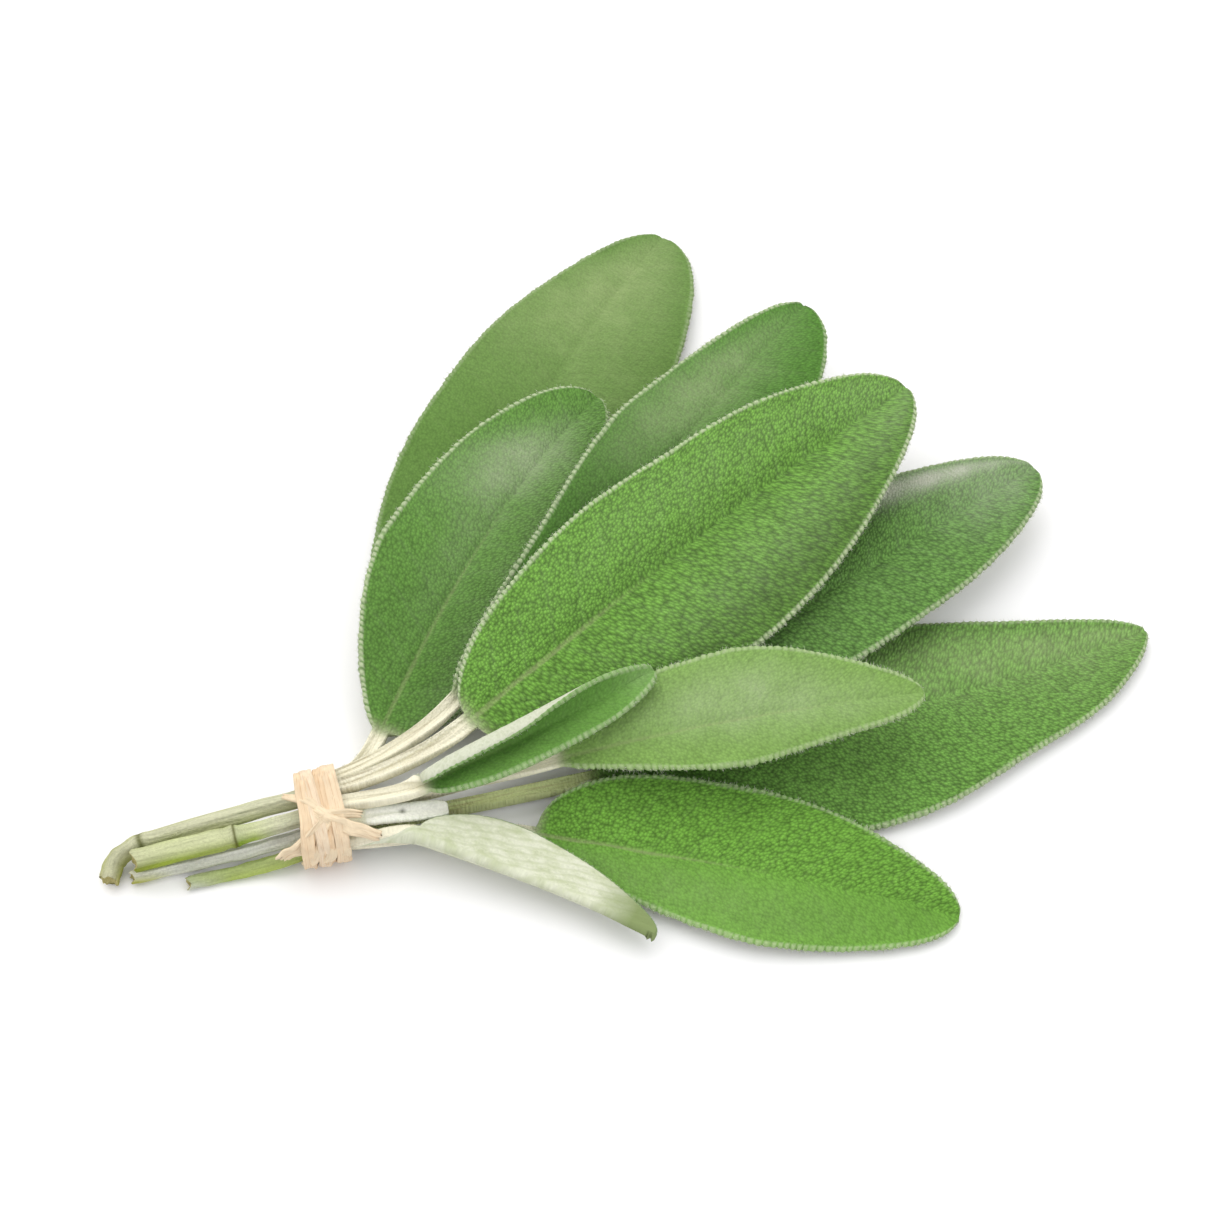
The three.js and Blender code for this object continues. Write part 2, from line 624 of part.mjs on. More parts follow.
/** All turns and strips joined into one body. */
async function tieGeometry() {
  const wasm = await Module();
  wasm.setup();
  const toSolid = (geometry) => {
    const merged = mergeVertices(geometry);
    return new wasm.Manifold(new wasm.Mesh({
      numProp: 3,
      vertProperties: merged.attributes.position.array,
      triVerts: Uint32Array.from(merged.index.array),
    }));
  };
  const pieces = [...TURNS.map(turnGeometry), ...STRIPS.map(stripGeometry)].map(toSolid);
  const joined = pieces.reduce((sum, piece) => sum.add(piece)).getMesh();
  const geometry = new THREE.BufferGeometry();
  geometry.setAttribute('position', new THREE.BufferAttribute(joined.vertProperties, 3));
  geometry.setIndex(Array.from(joined.triVerts));
  return geometry;
}

// ---------------------------------------------------------------- assembly

function namedMesh(name, geometry, color, roughness) {
  geometry.computeVertexNormals();
  const material = new THREE.MeshStandardMaterial({ color, roughness, metalness: 0 });
  const mesh = new THREE.Mesh(geometry, material);
  mesh.name = name;
  return mesh;
}

const layout = new THREE.Group();
layout.position.copy(MIDDLE).negate();
for (const leaf of LEAVES) layout.add(namedMesh(leaf.name, leafGeometry(leaf), leaf.color, 0.8));
for (const stem of STEMS) layout.add(namedMesh(stem.name, stemGeometry(stem), stem.color, 0.7));

layout.add(namedMesh('tie', await tieGeometry(), 0xf0d9ae, 0.85));

const bunch = new THREE.Group();
bunch.add(layout);

export default bunch;
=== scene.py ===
"""A small bunch of garden sage, tied with raffia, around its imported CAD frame.

The tables give millimetres in the bunch's own layout, which is measured from the middle of the
tie, with the stems along X. to_frame() turns them into metres in the CAD frame.
"""
import math

import bpy
import numpy as np
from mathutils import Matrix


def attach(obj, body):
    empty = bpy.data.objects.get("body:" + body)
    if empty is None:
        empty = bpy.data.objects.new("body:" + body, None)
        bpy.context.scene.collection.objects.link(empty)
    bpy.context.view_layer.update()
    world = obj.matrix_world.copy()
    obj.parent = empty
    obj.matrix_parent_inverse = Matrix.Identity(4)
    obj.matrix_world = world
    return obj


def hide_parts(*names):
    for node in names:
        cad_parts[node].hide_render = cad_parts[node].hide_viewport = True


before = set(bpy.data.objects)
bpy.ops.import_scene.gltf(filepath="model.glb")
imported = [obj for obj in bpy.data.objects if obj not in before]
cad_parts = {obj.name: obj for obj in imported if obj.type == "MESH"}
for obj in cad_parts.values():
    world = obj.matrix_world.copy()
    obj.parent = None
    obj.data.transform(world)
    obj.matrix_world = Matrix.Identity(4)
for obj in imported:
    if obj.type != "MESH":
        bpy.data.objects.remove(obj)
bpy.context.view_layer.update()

MM = 0.001
MIDDLE = np.array([39.4, 22.5, 0.0])
UP = np.array([0.0, 0.0, 1.0])


def to_frame(points):
    """Points of the layout in mm as points of the frame in metres."""
    return (np.asarray(points, float) - MIDDLE) * MM


def lerp(a, b, t):
    return a + (b - a) * t


def smoothstep(x, start, end):
    t = np.clip((x - start) / (end - start), 0, 1)
    return t * t * (3 - 2 * t)


def unit(vectors):
    return vectors / np.linalg.norm(vectors, axis=-1, keepdims=True)


def steps(points):
    """The distance from each point of a line to the next."""
    return np.linalg.norm(np.diff(points, axis=0), axis=1)


def run_along(points):
    """How far along a line of points each of them lies."""
    return np.concatenate([[0], np.cumsum(steps(points))])


def curve_length(curve, control, samples):
    return float(steps(curve(control, np.linspace(0, 1, samples))[0]).sum())


def in_rows(values, count):
    """One value a row, repeated for each place in the row."""
    return np.repeat(values[:, None], count, 1)


# A surface that faces the light shows this much brighter than its own colour.
LIGHT_GAIN = 1.13


def surface(red, green, blue):
    """The surface colour that shows as 0 to 255 on the screen in full light, as linear values."""
    shown = (((v / 255 + 0.055) / 1.055) ** 2.4 if v > 10 else v / 3295 for v in (red, green, blue))
    return tuple(min(v / LIGHT_GAIN, 0.95) for v in shown)


# ---------------------------------------------------------------- camera, lights and floor

CAMERA_TURN = math.radians(16)
CAMERA_HEIGHT = math.radians(55)
CAMERA_DISTANCE = 421.5
CAMERA_TARGET = np.array([41.83, 22.54, 0.0])
LENS = 100
SENSOR_WIDTH = 36
NEAR_CLIP = 0.01

SKY_STRENGTH = 0.86
# Each lamp: its name, place in metres, size in metres, power in watts, and colour.
LAMPS = [
    ("key", (-0.15, 0.5, 0.85), 1.4, 8.0, (1.0, 0.985, 0.95)),
    ("fill", (0.5, -0.5, 0.8), 0.8, 1.4, (0.95, 0.97, 1.0)),
]
FLOOR_REACH = 3.0
FLOOR_COLOR = (0.93, 0.925, 0.94)


def make_camera():
    data = bpy.data.cameras.new("camera")
    data.lens = LENS
    data.sensor_width = SENSOR_WIDTH
    data.clip_start = NEAR_CLIP
    camera = bpy.data.objects.new("camera", data)
    level = CAMERA_DISTANCE * math.cos(CAMERA_HEIGHT)
    away = np.array([
        -level * math.sin(CAMERA_TURN),
        -level * math.cos(CAMERA_TURN),
        CAMERA_DISTANCE * math.sin(CAMERA_HEIGHT),
    ])
    camera.location = to_frame(CAMERA_TARGET + away)
    camera.rotation_euler = (math.pi / 2 - CAMERA_HEIGHT, 0, -CAMERA_TURN)
    bpy.context.collection.objects.link(camera)
    bpy.context.scene.camera = camera


def area_light(name, place, size, power, color):
    """A square lamp at a place in metres from the bunch's middle, facing that middle."""
    data = bpy.data.lights.new(name, "AREA")
    data.shape = "SQUARE"
    data.size = size
    data.energy = power
    data.color = color
    lamp = bpy.data.objects.new(name, data)
    lamp.location = place
    x, y, z = place
    lamp.rotation_euler = (math.acos(z / math.hypot(x, y, z)), 0, math.atan2(x, -y))
    bpy.context.collection.objects.link(lamp)


def make_light():
    world = bpy.data.worlds.new("studio")
    world.use_nodes = True
    background = world.node_tree.nodes["Background"]
    background.inputs["Color"].default_value = (1.0, 1.0, 1.0, 1)
    background.inputs["Strength"].default_value = SKY_STRENGTH
    bpy.context.scene.world = world
    for lamp in LAMPS:
        area_light(*lamp)


def make_floor():
    mesh = bpy.data.meshes.new("floor")
    signs = ((-1, -1), (1, -1), (1, 1), (-1, 1))
    corners = [(x * FLOOR_REACH, y * FLOOR_REACH, 0) for x, y in signs]
    mesh.from_pydata(corners, [], [(0, 1, 2, 3)])
    floor = bpy.data.objects.new("floor", mesh)
    bpy.context.collection.objects.link(floor)
    material = bpy.data.materials.new("floor")
    material.use_nodes = True
    shader = material.node_tree.nodes["Principled BSDF"]
    shader.inputs["Base Color"].default_value = (*FLOOR_COLOR, 1)
    shader.inputs["Roughness"].default_value = 0.9
    shader.inputs["Specular IOR Level"].default_value = 0.1
    mesh.materials.append(material)


# ---------------------------------------------------------------- noise as formulas

# Each piece has a seed of its own, and each noise on it adds another number to that seed.
NOISE_TABLE = 256
CELL_SPOT_RANGE = (0.08, 0.92)
FAR_AWAY = 9.0


def ripple(x, y, length, seed, count=7):
    """A smooth irregular wave of about that length in mm over a plane, mostly from -1 to 1."""
    draw = np.random.default_rng(seed)
    total = 0
    for _ in range(count):
        angle = draw.uniform(0, math.tau)
        pitch = length * draw.uniform(0.7, 1.5)
        phase = draw.uniform(0, math.tau)
        across_waves = x * math.cos(angle) + y * math.sin(angle)
        total = total + np.sin(across_waves * math.tau / pitch + phase)
    return total / math.sqrt(count)


def cells(x, y, seed):
    """Cellular noise with cells of size 1: how far in from its cell's wall each point lies."""
    draw = np.random.default_rng(seed)
    table = draw.uniform(*CELL_SPOT_RANGE, (NOISE_TABLE, NOISE_TABLE, 2))
    column = np.floor(x).astype(int)
    row = np.floor(y).astype(int)
    nearest = np.full(x.shape, FAR_AWAY)
    second = np.full(x.shape, FAR_AWAY)
    for i in (-1, 0, 1):
        for j in (-1, 0, 1):
            spot = table[(column + i) % NOISE_TABLE, (row + j) % NOISE_TABLE]
            distance = np.hypot(column + i + spot[..., 0] - x, row + j + spot[..., 1] - y)
            second = np.where(distance < nearest, nearest, np.minimum(second, distance))
            nearest = np.minimum(nearest, distance)
    return second - nearest


# ---------------------------------------------------------------- leaves: the table

# Lengths are in mm, angles in degrees, and colours are as on the screen, from 0 to 255.
# Each leaf: where its stalk enters the tie (y, z of its upper face), the heading at which it leaves
# (to the left), the foot of its blade, its tip, how far the midrib rises above and swings left of
# the straight line between them (at a third and at two thirds), the half width of its stalk, and
# how far it rolls about its midrib at the foot and at the tip (left side up). Each half: width,
# where along the blade that is, roundness of foot and tip, fold at foot and tip, curl at foot and
# tip, and its bumps: how far the margin runs out and in, how many times along the blade, and where
# that starts. wave: the same for the slow wave of the margins up and down. The rest is the look: the
# green, the colour of its felt and of its painted sheen, how strong the pebbles are, how pale the rib
# is and where along the blade it fades, how pale the teeth of the left and right margins are, and
# patches (place along, place across, their sizes, how far they slant, strength), which are painted
# sheen over the felt where the strength is positive and painted shade where it is negative. What a
# row leaves out is as the Leaf class has it.
LEAVES = [
    dict(
        name="leaf_back", slot="leaf_grey",
        entry=(2.5, 2.8), heading=3, foot=(10.9, 12.5, 2.2), tip=(65.6, 78.4, 1.0),
        rise=(1.8, 4.0), swing=(3, 3.5), stalk=0.85, roll=(0, 0),
        left=(13.3, 0.5, (1.5, 1.6), (4, 8), (0, -30), (0.25, 3, 0.1)),
        right=(13.9, 0.6, (1.9, 2.0), (2, 6), (-4, -26), (0.2, 2, 0)),
        wave=(0.6, 1.4, 0.1),
        green=(97, 135, 62), pale=(186, 198, 146), pebble=0.25, rib=(0.1, 0.1, 0.5),
        beads=(0.25, 0.25), patches=[(0.86, 0.2, 0.16, 0.9, -0.1, 0.3), (0.6, -0.4, 0.32, 0.6, 0, 0.12)],
    ),
    dict(
        name="leaf_left",
        entry=(3.45, 4.5), heading=2, foot=(9.8, 9.4, 4.8), tip=(48.5, 50.2, 6.4),
        rise=(1.5, 3.5), swing=(2, 2.5), stalk=0.85, roll=(10, 6),
        left=(11.3, 0.42, (1.3, 2.0), (6, 12), (0, -42), (0.2, 2, 0.75)),
        right=(11.0, 0.45, (2.0, 1.6), (4, 8), (-6, -34), (0.2, 2, 0)),
        wave=(0.4, 1.6, 0.3),
        green=(93, 138, 58), pale=(190, 196, 170), pebble=0.6, rib=(0.35, 0.35, 0.7),
        beads=(0.8, 0.5),
        patches=[
            (0.74, 0.2, 0.12, 0.6, -0.12, 0.34), (0.55, 0.15, 0.25, 0.3, 0, 0.1),
            (0.45, -0.7, 0.35, 0.35, 0, 0.14), (0.15, 0, 0.2, 1.5, 0, -0.1),
        ],
    ),
    dict(
        name="leaf_upper",
        entry=(3.3, 6.25), heading=8, foot=(19.8, 10.2, 7.2), tip=(78.2, 56.4, 8),
        rise=(2, 4), swing=(-1, -1.5), stalk=0.9, roll=(8, 4),
        left=(8.9, 0.6, (1.3, 1.45), (6, 8), (0, -30), (0.3, 2, 0.15)),
        right=(11.8, 0.6, (2.0, 1.9), (2, 6), (-6, -26), (0.15, 2, 0)),
        wave=(0.4, 1.5, 0.6),
        green=(84, 133, 51), pale=(188, 196, 158), pebble=0.5, rib=(0.2, 0.2, 0.5),
        beads=(0.75, 0.5), patches=[(0.72, 0.35, 0.2, 0.6, -0.1, 0.3), (0.35, 0.6, 0.25, 0.6, 0, -0.3)],
    ),
    dict(
        name="leaf_center",
        entry=(1.55, 7.0), heading=5, foot=(20, 5.2, 9), tip=(85.2, 36.7, 12),
        rise=(2, 3), swing=(0, 0), stalk=1.1, roll=(12, -2),
        left=(12.3, 0.45, (1.8, 2.0), (4, 8), (-8, -22), (0.15, 3, 0)),
        right=(15.2, 0.45, (1.8, 1.65), (2, 6), (-14, -26), (0.25, 1.5, 0.4)),
        wave=(0.5, 1.5, 0.8), stretch=(1.0, 1.7),
        green=(108, 158, 62), pale=(186, 192, 168), pebble=1.0, rib=(0.5, 0.2, 0.45),
        beads=(0.9, 0.8),
        patches=[
            (0.95, -0.1, 0.1, 0.9, 0, 0.1), (0.6, -0.85, 0.45, 0.35, 0, -0.38),
            (0.65, -0.6, 0.4, 0.4, 0, 0.12), (0.55, 0.05, 0.45, 0.22, 0, -0.18),
            (0.6, 0.6, 0.4, 0.4, 0, 0.06),
        ],
    ),
    dict(
        name="leaf_right",
        entry=(0.75, 3.0), heading=3, foot=(30, 1.6, 5), tip=(98.7, 24.7, 5.5),
        rise=(1.7, 2), swing=(-2.5, -1), stalk=0.85, roll=(0, 0),
        left=(13.2, 0.63, (2.0, 1.5), (8, 8), (-10, -54), (0.2, 3, 0)),
        right=(9.5, 0.55, (2.0, 2.0), (6, 4), (-6, -20), (0.15, 2.5, 0.2)),
        wave=(0.4, 1.3, 0.2), stretch=(1.0, 1.3),
        green=(99, 143, 67), pale=(196, 200, 182), pebble=0.9, rib=(0.25, 0.3, 0.6),
        beads=(0.5, 0.6), patches=[(0.8, 0.72, 0.16, 0.2, -0.05, 0.85), (0.93, 0.1, 0.12, 0.8, 0, 0.25)],
    ),
    dict(
        name="leaf_far_right",
        entry=(-1.15, 2.6), heading=-3, foot=(33, -2.3, 2.0), tip=(104.7, -0.1, 1.4),
        rise=(0.5, 1), swing=(-1.5, -4), stalk=0.85, roll=(3, 0),
        left=(11.9, 0.6, (2.0, 1.25), (2, 5), (0, -28), (0.3, 2.5, 0.7)),
        right=(14.8, 0.42, (2.0, 1.45), (0, 3), (0, -14), (0.4, 2.8, 0.75)),
        wave=(0.5, 1.6, 0.5), petiole=(226, 236, 172), stretch=(1.6, 1.0),
        green=(104, 152, 66), pale=(184, 196, 150), pebble=1.0, felt=0.03, rib=(0.1, 0.1, 0.4),
        beads=(0.4, 0.65), patches=[(0.75, 0.4, 0.35, 0.5, 0, 0.2), (0.95, -0.2, 0.2, 0.8, 0, 0.12)],
    ),
    dict(
        name="leaf_velvet", slot="leaf_grey",
        entry=(0.1, 4.95), heading=4, foot=(29, -2.8, 8.8), tip=(72.7, -6.8, 10.5),
        rise=(2, 2), swing=(0, 0), stalk=0.8, roll=(12, 4),
        left=(9.1, 0.5, (1.8, 1.4), (2, 6), (0, -18), (0.15, 2, 0)),
        right=(5.7, 0.5, (1.3, 1.6), (8, 8), (0, -20), (0.35, 1.5, 0.7)),
        wave=(0.35, 1.6, 0.0),
        green=(124, 163, 78), pale=(188, 198, 166), pebble=0.35, felt=0.05, rib=(0.35, 0.5, 0.9),
        beads=(0.45, 0.35), patches=[(0.5, 0.3, 0.28, 0.5, 0, 0.26), (0.75, -0.3, 0.25, 0.5, 0, 0.12)],
    ),
    dict(
        name="leaf_curled",
        entry=(-0.35, 7.25), heading=-2, foot=(13.1, -1.4, 8.4), tip=(42.0, 3.2, 13.6),
        rise=(1, 0.8), swing=(-1, -1), stalk=1.0, roll=(6, 6),
        left=(4.0, 0.42, (2.6, 1.3), (35, 22), (155, 120), (0, 1, 0)),
        right=(4.2, 0.42, (1.7, 1.8), (10, 10), (20, 10), (0.15, 1.5, 0)),
        wave=(0.2, 1.5, 0.0), tooth=0.4, hair=0.7, vein_pitch=2.2, under_pitch=0.3,
        green=(106, 155, 68), pale=(188, 196, 166), pebble=0.25, rib=(0.2, 0.2, 0.5),
        beads=(0.3, 0.4), patches=[(0.95, 0, 0.1, 0.9, 0, 0.14)],
    ),
    dict(
        name="leaf_front",
        entry=(-2.9, 3.2), heading=-13, foot=(24.2, -8.2, 2.3), tip=(69.2, -31.9, 1.0),
        rise=(1, 1.5), swing=(0, 0.5), stalk=0.75, roll=(10, 3),
        left=(10.5, 0.5, (2.2, 1.6), (6, 4), (-4, -20), (0.2, 2, 0)),
        right=(9.0, 0.55, (1.4, 1.8), (8, 6), (-4, -14), (0.2, 1.5, 0.5)),
        wave=(0.4, 1.5, 0.7), grain=(1.0, 0.45),
        green=(112, 166, 62), pale=(182, 196, 150), pebble=0.9, rib=(0.6, 0.25, 0.6),
        beads=(0.5, 0.45),
        patches=[
            (0.35, -0.6, 0.5, 0.5, 0, 0.12), (0.5, -0.6, 0.4, 0.4, 0, -0.12),
            (0.9, 0, 0.25, 0.9, 0, -0.12),
        ],
    ),
    dict(
        name="leaf_folded", slot="leaf_felt",
        entry=(-3.9, 4.85), heading=-6, foot=(10.4, -6.1, 4.8), tip=(33.9, -25.6, 2.8),
        rise=(0, 0), swing=(0.4, 1), stalk=1.0, roll=(-96, -88),
        left=(3.5, 0.4, (1.8, 1.4), (70, 76), (4, 4), (0.1, 2, 0.5)),
        right=(5.2, 0.4, (1.8, 1.4), (70, 76), (4, 4), (0.1, 2, 0)),
        wave=(0.3, 1.2, 0.2), hair=0.6, tooth=0.2, vein_pitch=1.5, under_pitch=0.25,
        green=(100, 140, 65), pale=(190, 196, 170), pebble=0.6, felt=0.1, rib=(0.2, 0.2, 0.5),
        beads=(0.2, 0.2), patches=[],
    ),
    dict(
        name="leaf_young", slot="leaf_felt",
        entry=(-2.2, 6.2), heading=-5, foot=(5, -2.45, 5.9), tip=(14.8, -3.7, 5.5),
        rise=(0, 0), swing=(0, 0), stalk=0.8, roll=(0, 0), smooth=True,
        left=(1.1, 0.6, (2, 2.5), (8, 4), (10, 0), (0, 1, 0)),
        right=(1.1, 0.6, (2, 2.5), (8, 4), (10, 0), (0, 1, 0)),
        wave=(0, 1, 0),
        green=(252, 252, 240), pale=(254, 254, 246), pebble=0.2, felt=0.5, rib=(0.3, 0.3, 0.8),
        beads=(0.2, 0.2), patches=[(0.45, 0.1, 0.035, 0.3, 0, -0.85)],
    ),
]

LEAF_SEED = 11
CURVE_SAMPLES = 60
STALK_START_X = 0.25
STALK_REACH = 0.35
STALK_HALF_WIDTH_IN_TIE = 0.7
STALK_FOLD = 8
STALK_CURL = 35
STALK_UNDERSIDE = 0.5
STALK_THICKNESS = 1.25
OPENING_START = -0.3
OPENING_END = 0.03
BLADE_THICKNESS = 0.75
MARGIN_THICKNESS = 0.6
TIP_HALF_WIDTH = 0.4
RIB_HALF_WIDTH_AT_TIP = 0.5
RIB_DEPTH_AT_TIP = 0.1
GROOVE_DEPTH = 0.15
BUMP_FADE = 6
WAVE_SHIFT = 0.2
LEAST_BEND = 0.01
NORMAL_STEP = 0.004


# ---------------------------------------------------------------- leaves: their surface


def bezier(control, t):
    """Points and directions of a cubic curve at t, one row for each."""
    a, b, c, d = (np.asarray(p, float) for p in control)
    t = np.asarray(t, float)[:, None]
    s = 1 - t
    point = s**3 * a + 3 * s * s * t * b + 3 * s * t * t * c + t**3 * d
    slope = s * s * (b - a) + 2 * s * t * (c - b) + t * t * (d - c)
    return point, unit(slope)


class Leaf:
    """The smooth surface of one leaf: u runs along it (-1 in the tie, 0 at the foot of the blade,
    1 at the tip) and c across it (-1 the right margin, 1 the left one).

    A leaf may have no teeth (smooth) or lower ones, shorter hairs, more felt, pebbles that are
    drawn out across (stretch) or fainter (grain) in its left or right half, a stalk (petiole) of
    another colour, and other distances in mm between its veins and across its underside's mesh."""

    slot = "leaf_green"
    smooth = False
    tooth = 1.0
    hair = 1.0
    felt = 0.02
    stretch = (1.0, 1.0)
    grain = (1.0, 1.0)
    petiole = (254, 249, 224)
    vein_pitch = 4.6
    under_pitch = 0.85

    def __init__(self, values, seed):
        self.__dict__.update(values)
        self.seed = seed
        foot = np.array(self.foot, float)
        tip = np.array(self.tip, float)
        chord = tip - foot
        left = unit(np.cross(UP, chord))
        ahead = foot + chord / 3 + UP * self.rise[0] + left * self.swing[0]
        behind = foot + chord * 2 / 3 + UP * self.rise[1] + left * self.swing[1]
        self.midrib = (foot, ahead, behind, tip)
        start = np.array([STALK_START_X, *self.entry])
        reach = STALK_REACH * np.linalg.norm(foot - start)
        heading = math.radians(self.heading)
        leaving = start + reach * np.array([math.cos(heading), math.sin(heading), 0])
        arriving = foot - reach * unit(ahead - foot)
        self.stalk_line = (start, leaving, arriving, foot)
        self.length = curve_length(bezier, self.midrib, CURVE_SAMPLES)
        self.stalk_length = curve_length(bezier, self.stalk_line, CURVE_SAMPLES)

    def frames(self, u):
        """Centre, direction to the left and upward direction of each row."""
        on_stalk = u < 0
        stalk = bezier(self.stalk_line, np.clip(u + 1, 0, 1))
        blade = bezier(self.midrib, np.clip(u, 0, 1))
        centre = np.where(on_stalk[:, None], stalk[0], blade[0])
        tangent = np.where(on_stalk[:, None], stalk[1], blade[1])
        left = unit(np.cross(UP, tangent))
        normal = np.cross(tangent, left)
        stalk_roll = self.roll[0] * smoothstep(u + 1, 0, 1)
        roll = np.radians(np.where(on_stalk, stalk_roll, lerp(*self.roll, u)))[:, None]
        turned = left * np.cos(roll) + normal * np.sin(roll)
        return centre, turned, normal * np.cos(roll) - left * np.sin(roll)

    def half_width(self, side, u):
        width, widest, rounding = side[:3]
        t = np.clip(u, 0, 1)
        to_tip = t > widest
        x = np.where(to_tip, (t - widest) / (1 - widest), 1 - t / widest)
        power = np.where(to_tip, rounding[1], rounding[0])
        end = np.where(to_tip, TIP_HALF_WIDTH, self.stalk)
        height, count, start = side[5]
        bump = height * np.sin(math.tau * (count * t + start)) * (1 - (2 * t - 1) ** BUMP_FADE)
        blade = lerp(end, width, np.maximum(0, 1 - x**power) ** (1 / power)) + bump
        return np.where(u < 0, lerp(STALK_HALF_WIDTH_IN_TIE, self.stalk, u + 1), blade)

    def section(self, side, u):
        """Width, fold and curl of one half at u, angles in radians."""
        t = np.clip(u, 0, 1)
        widest, fold, curl = side[1], side[3], side[4]
        width = self.half_width(side, u)
        narrowing = np.where(t > widest, width / side[0], 1)
        opening = smoothstep(u, OPENING_START, OPENING_END)
        fold = lerp(STALK_FOLD, lerp(*fold, t), opening)
        curl = lerp(STALK_CURL, narrowing * lerp(*curl, t), opening)
        return width, np.radians(fold), np.radians(curl)

    def points(self, u, c):
        """Points of the upper face: u has one value a row, c has rows of places across."""
        centre, left, normal = self.frames(u)
        across = np.zeros(c.shape)
        above = np.zeros(c.shape)
        for sign, side in ((-1, self.right), (1, self.left)):
            here = c < 0 if sign < 0 else c >= 0
            width, fold, curl = (value[:, None] for value in self.section(side, u))
            share = np.abs(c)
            bend = np.where(np.abs(curl) < LEAST_BEND, LEAST_BEND, curl)
            arc = width / bend * (np.sin(fold + bend * share) - np.sin(fold))
            lift = width / bend * (np.cos(fold) - np.cos(fold + bend * share))
            lift = lift - GROOVE_DEPTH * np.maximum(0, 1 - share * width)
            height, count, start = self.wave
            swell = np.sin(math.tau * (count * u + start + WAVE_SHIFT * sign))[:, None]
            lift = lift + height * swell * (share * width / side[0]) ** 2
            across = np.where(here, sign * arc, across)
            above = np.where(here, lift, above)
        sideways = left[:, None] * across[..., None]
        return centre[:, None] + sideways + normal[:, None] * above[..., None]

    def width_at(self, u, c):
        """The width of the half that each place is on."""
        right, left = (self.half_width(side, u)[:, None] for side in (self.right, self.left))
        return np.where(c < 0, right, left)

    def normals(self, u, c):
        step = NORMAL_STEP
        ahead = self.points(np.minimum(u + step, 1), c) - self.points(np.maximum(u - step, -1), c)
        across = self.points(u, c + step) - self.points(u, c - step)
        return unit(np.cross(ahead, across))

    def thickness(self, u, c):
        blade = lerp(BLADE_THICKNESS, MARGIN_THICKNESS, c * c)
        along = np.maximum(u, 0)[:, None]
        rib_depth = lerp(STALK_THICKNESS - BLADE_THICKNESS, RIB_DEPTH_AT_TIP, along)
        rib_width = lerp(self.stalk, RIB_HALF_WIDTH_AT_TIP, along)
        from_rib = np.abs(c) * self.width_at(u, c) / rib_width
        return blade + rib_depth * np.maximum(0, 1 - from_rib**2)


# ---------------------------------------------------------------- leaves: their fine mesh

ROW_PITCH = 0.21
COLUMN_PITCH = 0.26
STALK_ROW_PITCH = 0.8
ROWS_TOWARDS_ENDS = 0.35
TOOTH_PITCH = 0.82
TOOTH_HEIGHT = 0.24
TOOTH_ROUNDNESS = 0.7
TOOTH_REACH = 0.9
TEETH_START = (0.0, 0.04)
TEETH_END = (0.97, 0.995)
# How much the teeth vary, in place and in size, and over how many mm.
TOOTH_SHIFT = (0.22, 5.0)
TOOTH_SPREAD = (0.25, 3.1)
DOME_PITCH = 0.75
DOME_HEIGHT = 0.06
DOME_MIDDLE = 0.6
BEAD_HEIGHT = 0.1
VEIN_SLANT = 0.75
VEIN_CURVE = 0.012
VEIN_OFFSET = 0.08
# Where a vein begins to fade, in mm from its middle, and where it ends, as a share of the pitch.
VEIN_HALF_WIDTH = 0.05
VEIN_FADE = 0.1
VEIN_DEPTH = 0.04
SWELL_HEIGHT = 0.14
SWELL_LENGTH = 9.0
RELIEF_FROM_MARGIN = 0.5
RIM_BULGE = 0.14
RIM_STEPS = (0.3, 0.7)
RIM_WIDTH = (0.1, 0.38)
RIM_BASE = 0.08
BEAD_RANGE = (0.3, 0.9)
# The half width of the pale rib: at the foot as a share of the stalk's, and at the tip in mm.
RIB_MARK_HALF_WIDTH = (0.6, 0.18)
STALK_TO_RIB = (-0.03, 0.035)
BLADE_START = (-0.01, 0.02)
STALK_RIDGE_HEIGHT = 0.07
STALK_RIDGE_PITCH = 0.7
LEAF_MARKS = ("painted_shade", "felt", "rib", "rim")


def leaf_stations(leaf):
    """Places along a leaf, closer together towards the two ends of the blade."""
    stalk_rows = max(4, round(leaf.stalk_length / STALK_ROW_PITCH))
    blade_rows = max(12, round(leaf.length / ROW_PITCH))
    s = np.linspace(0, 1, blade_rows)
    blade = lerp(s, (1 - np.cos(math.pi * s)) / 2, ROWS_TOWARDS_ENDS)
    return np.concatenate([np.linspace(-1, 0, stalk_rows, endpoint=False), blade])


def margin_run(leaf, u, c_end):
    """The distance along one margin at each row, in mm."""
    return run_along(leaf.points(u, np.full((len(u), 1), float(c_end)))[:, 0])


def margin_lobes(leaf, u, c_end):
    """The round teeth of a margin at each row: 0 between two of them and 1 at the middle of one."""
    run = margin_run(leaf, u, c_end)
    amount, length = TOOTH_SHIFT
    uneven = amount * ripple(run, run * 0, length, leaf.seed + 40)
    return np.abs(np.sin(math.pi * (run / TOOTH_PITCH + uneven))) ** TOOTH_ROUNDNESS


def margin_teeth(leaf, u, c_end):
    """How far the margin stands out at each row, in mm: a line of small round teeth."""
    if leaf.smooth:
        return np.zeros(len(u))
    run = margin_run(leaf, u, c_end)
    amount, length = TOOTH_SPREAD
    size = 1 + amount * ripple(run, run * 0, length, leaf.seed + 41)
    fade = smoothstep(u, *TEETH_START) * (1 - smoothstep(u, *TEETH_END))
    return leaf.tooth * TOOTH_HEIGHT * margin_lobes(leaf, u, c_end) * size * fade


def across_places(leaf, pitch):
    """Places across a leaf from its right margin to its left one."""
    right = max(5, round(leaf.right[0] / pitch))
    left = max(5, round(leaf.left[0] / pitch))
    return np.concatenate([np.linspace(-1, 0, right, endpoint=False), np.linspace(0, 1, left + 1)])


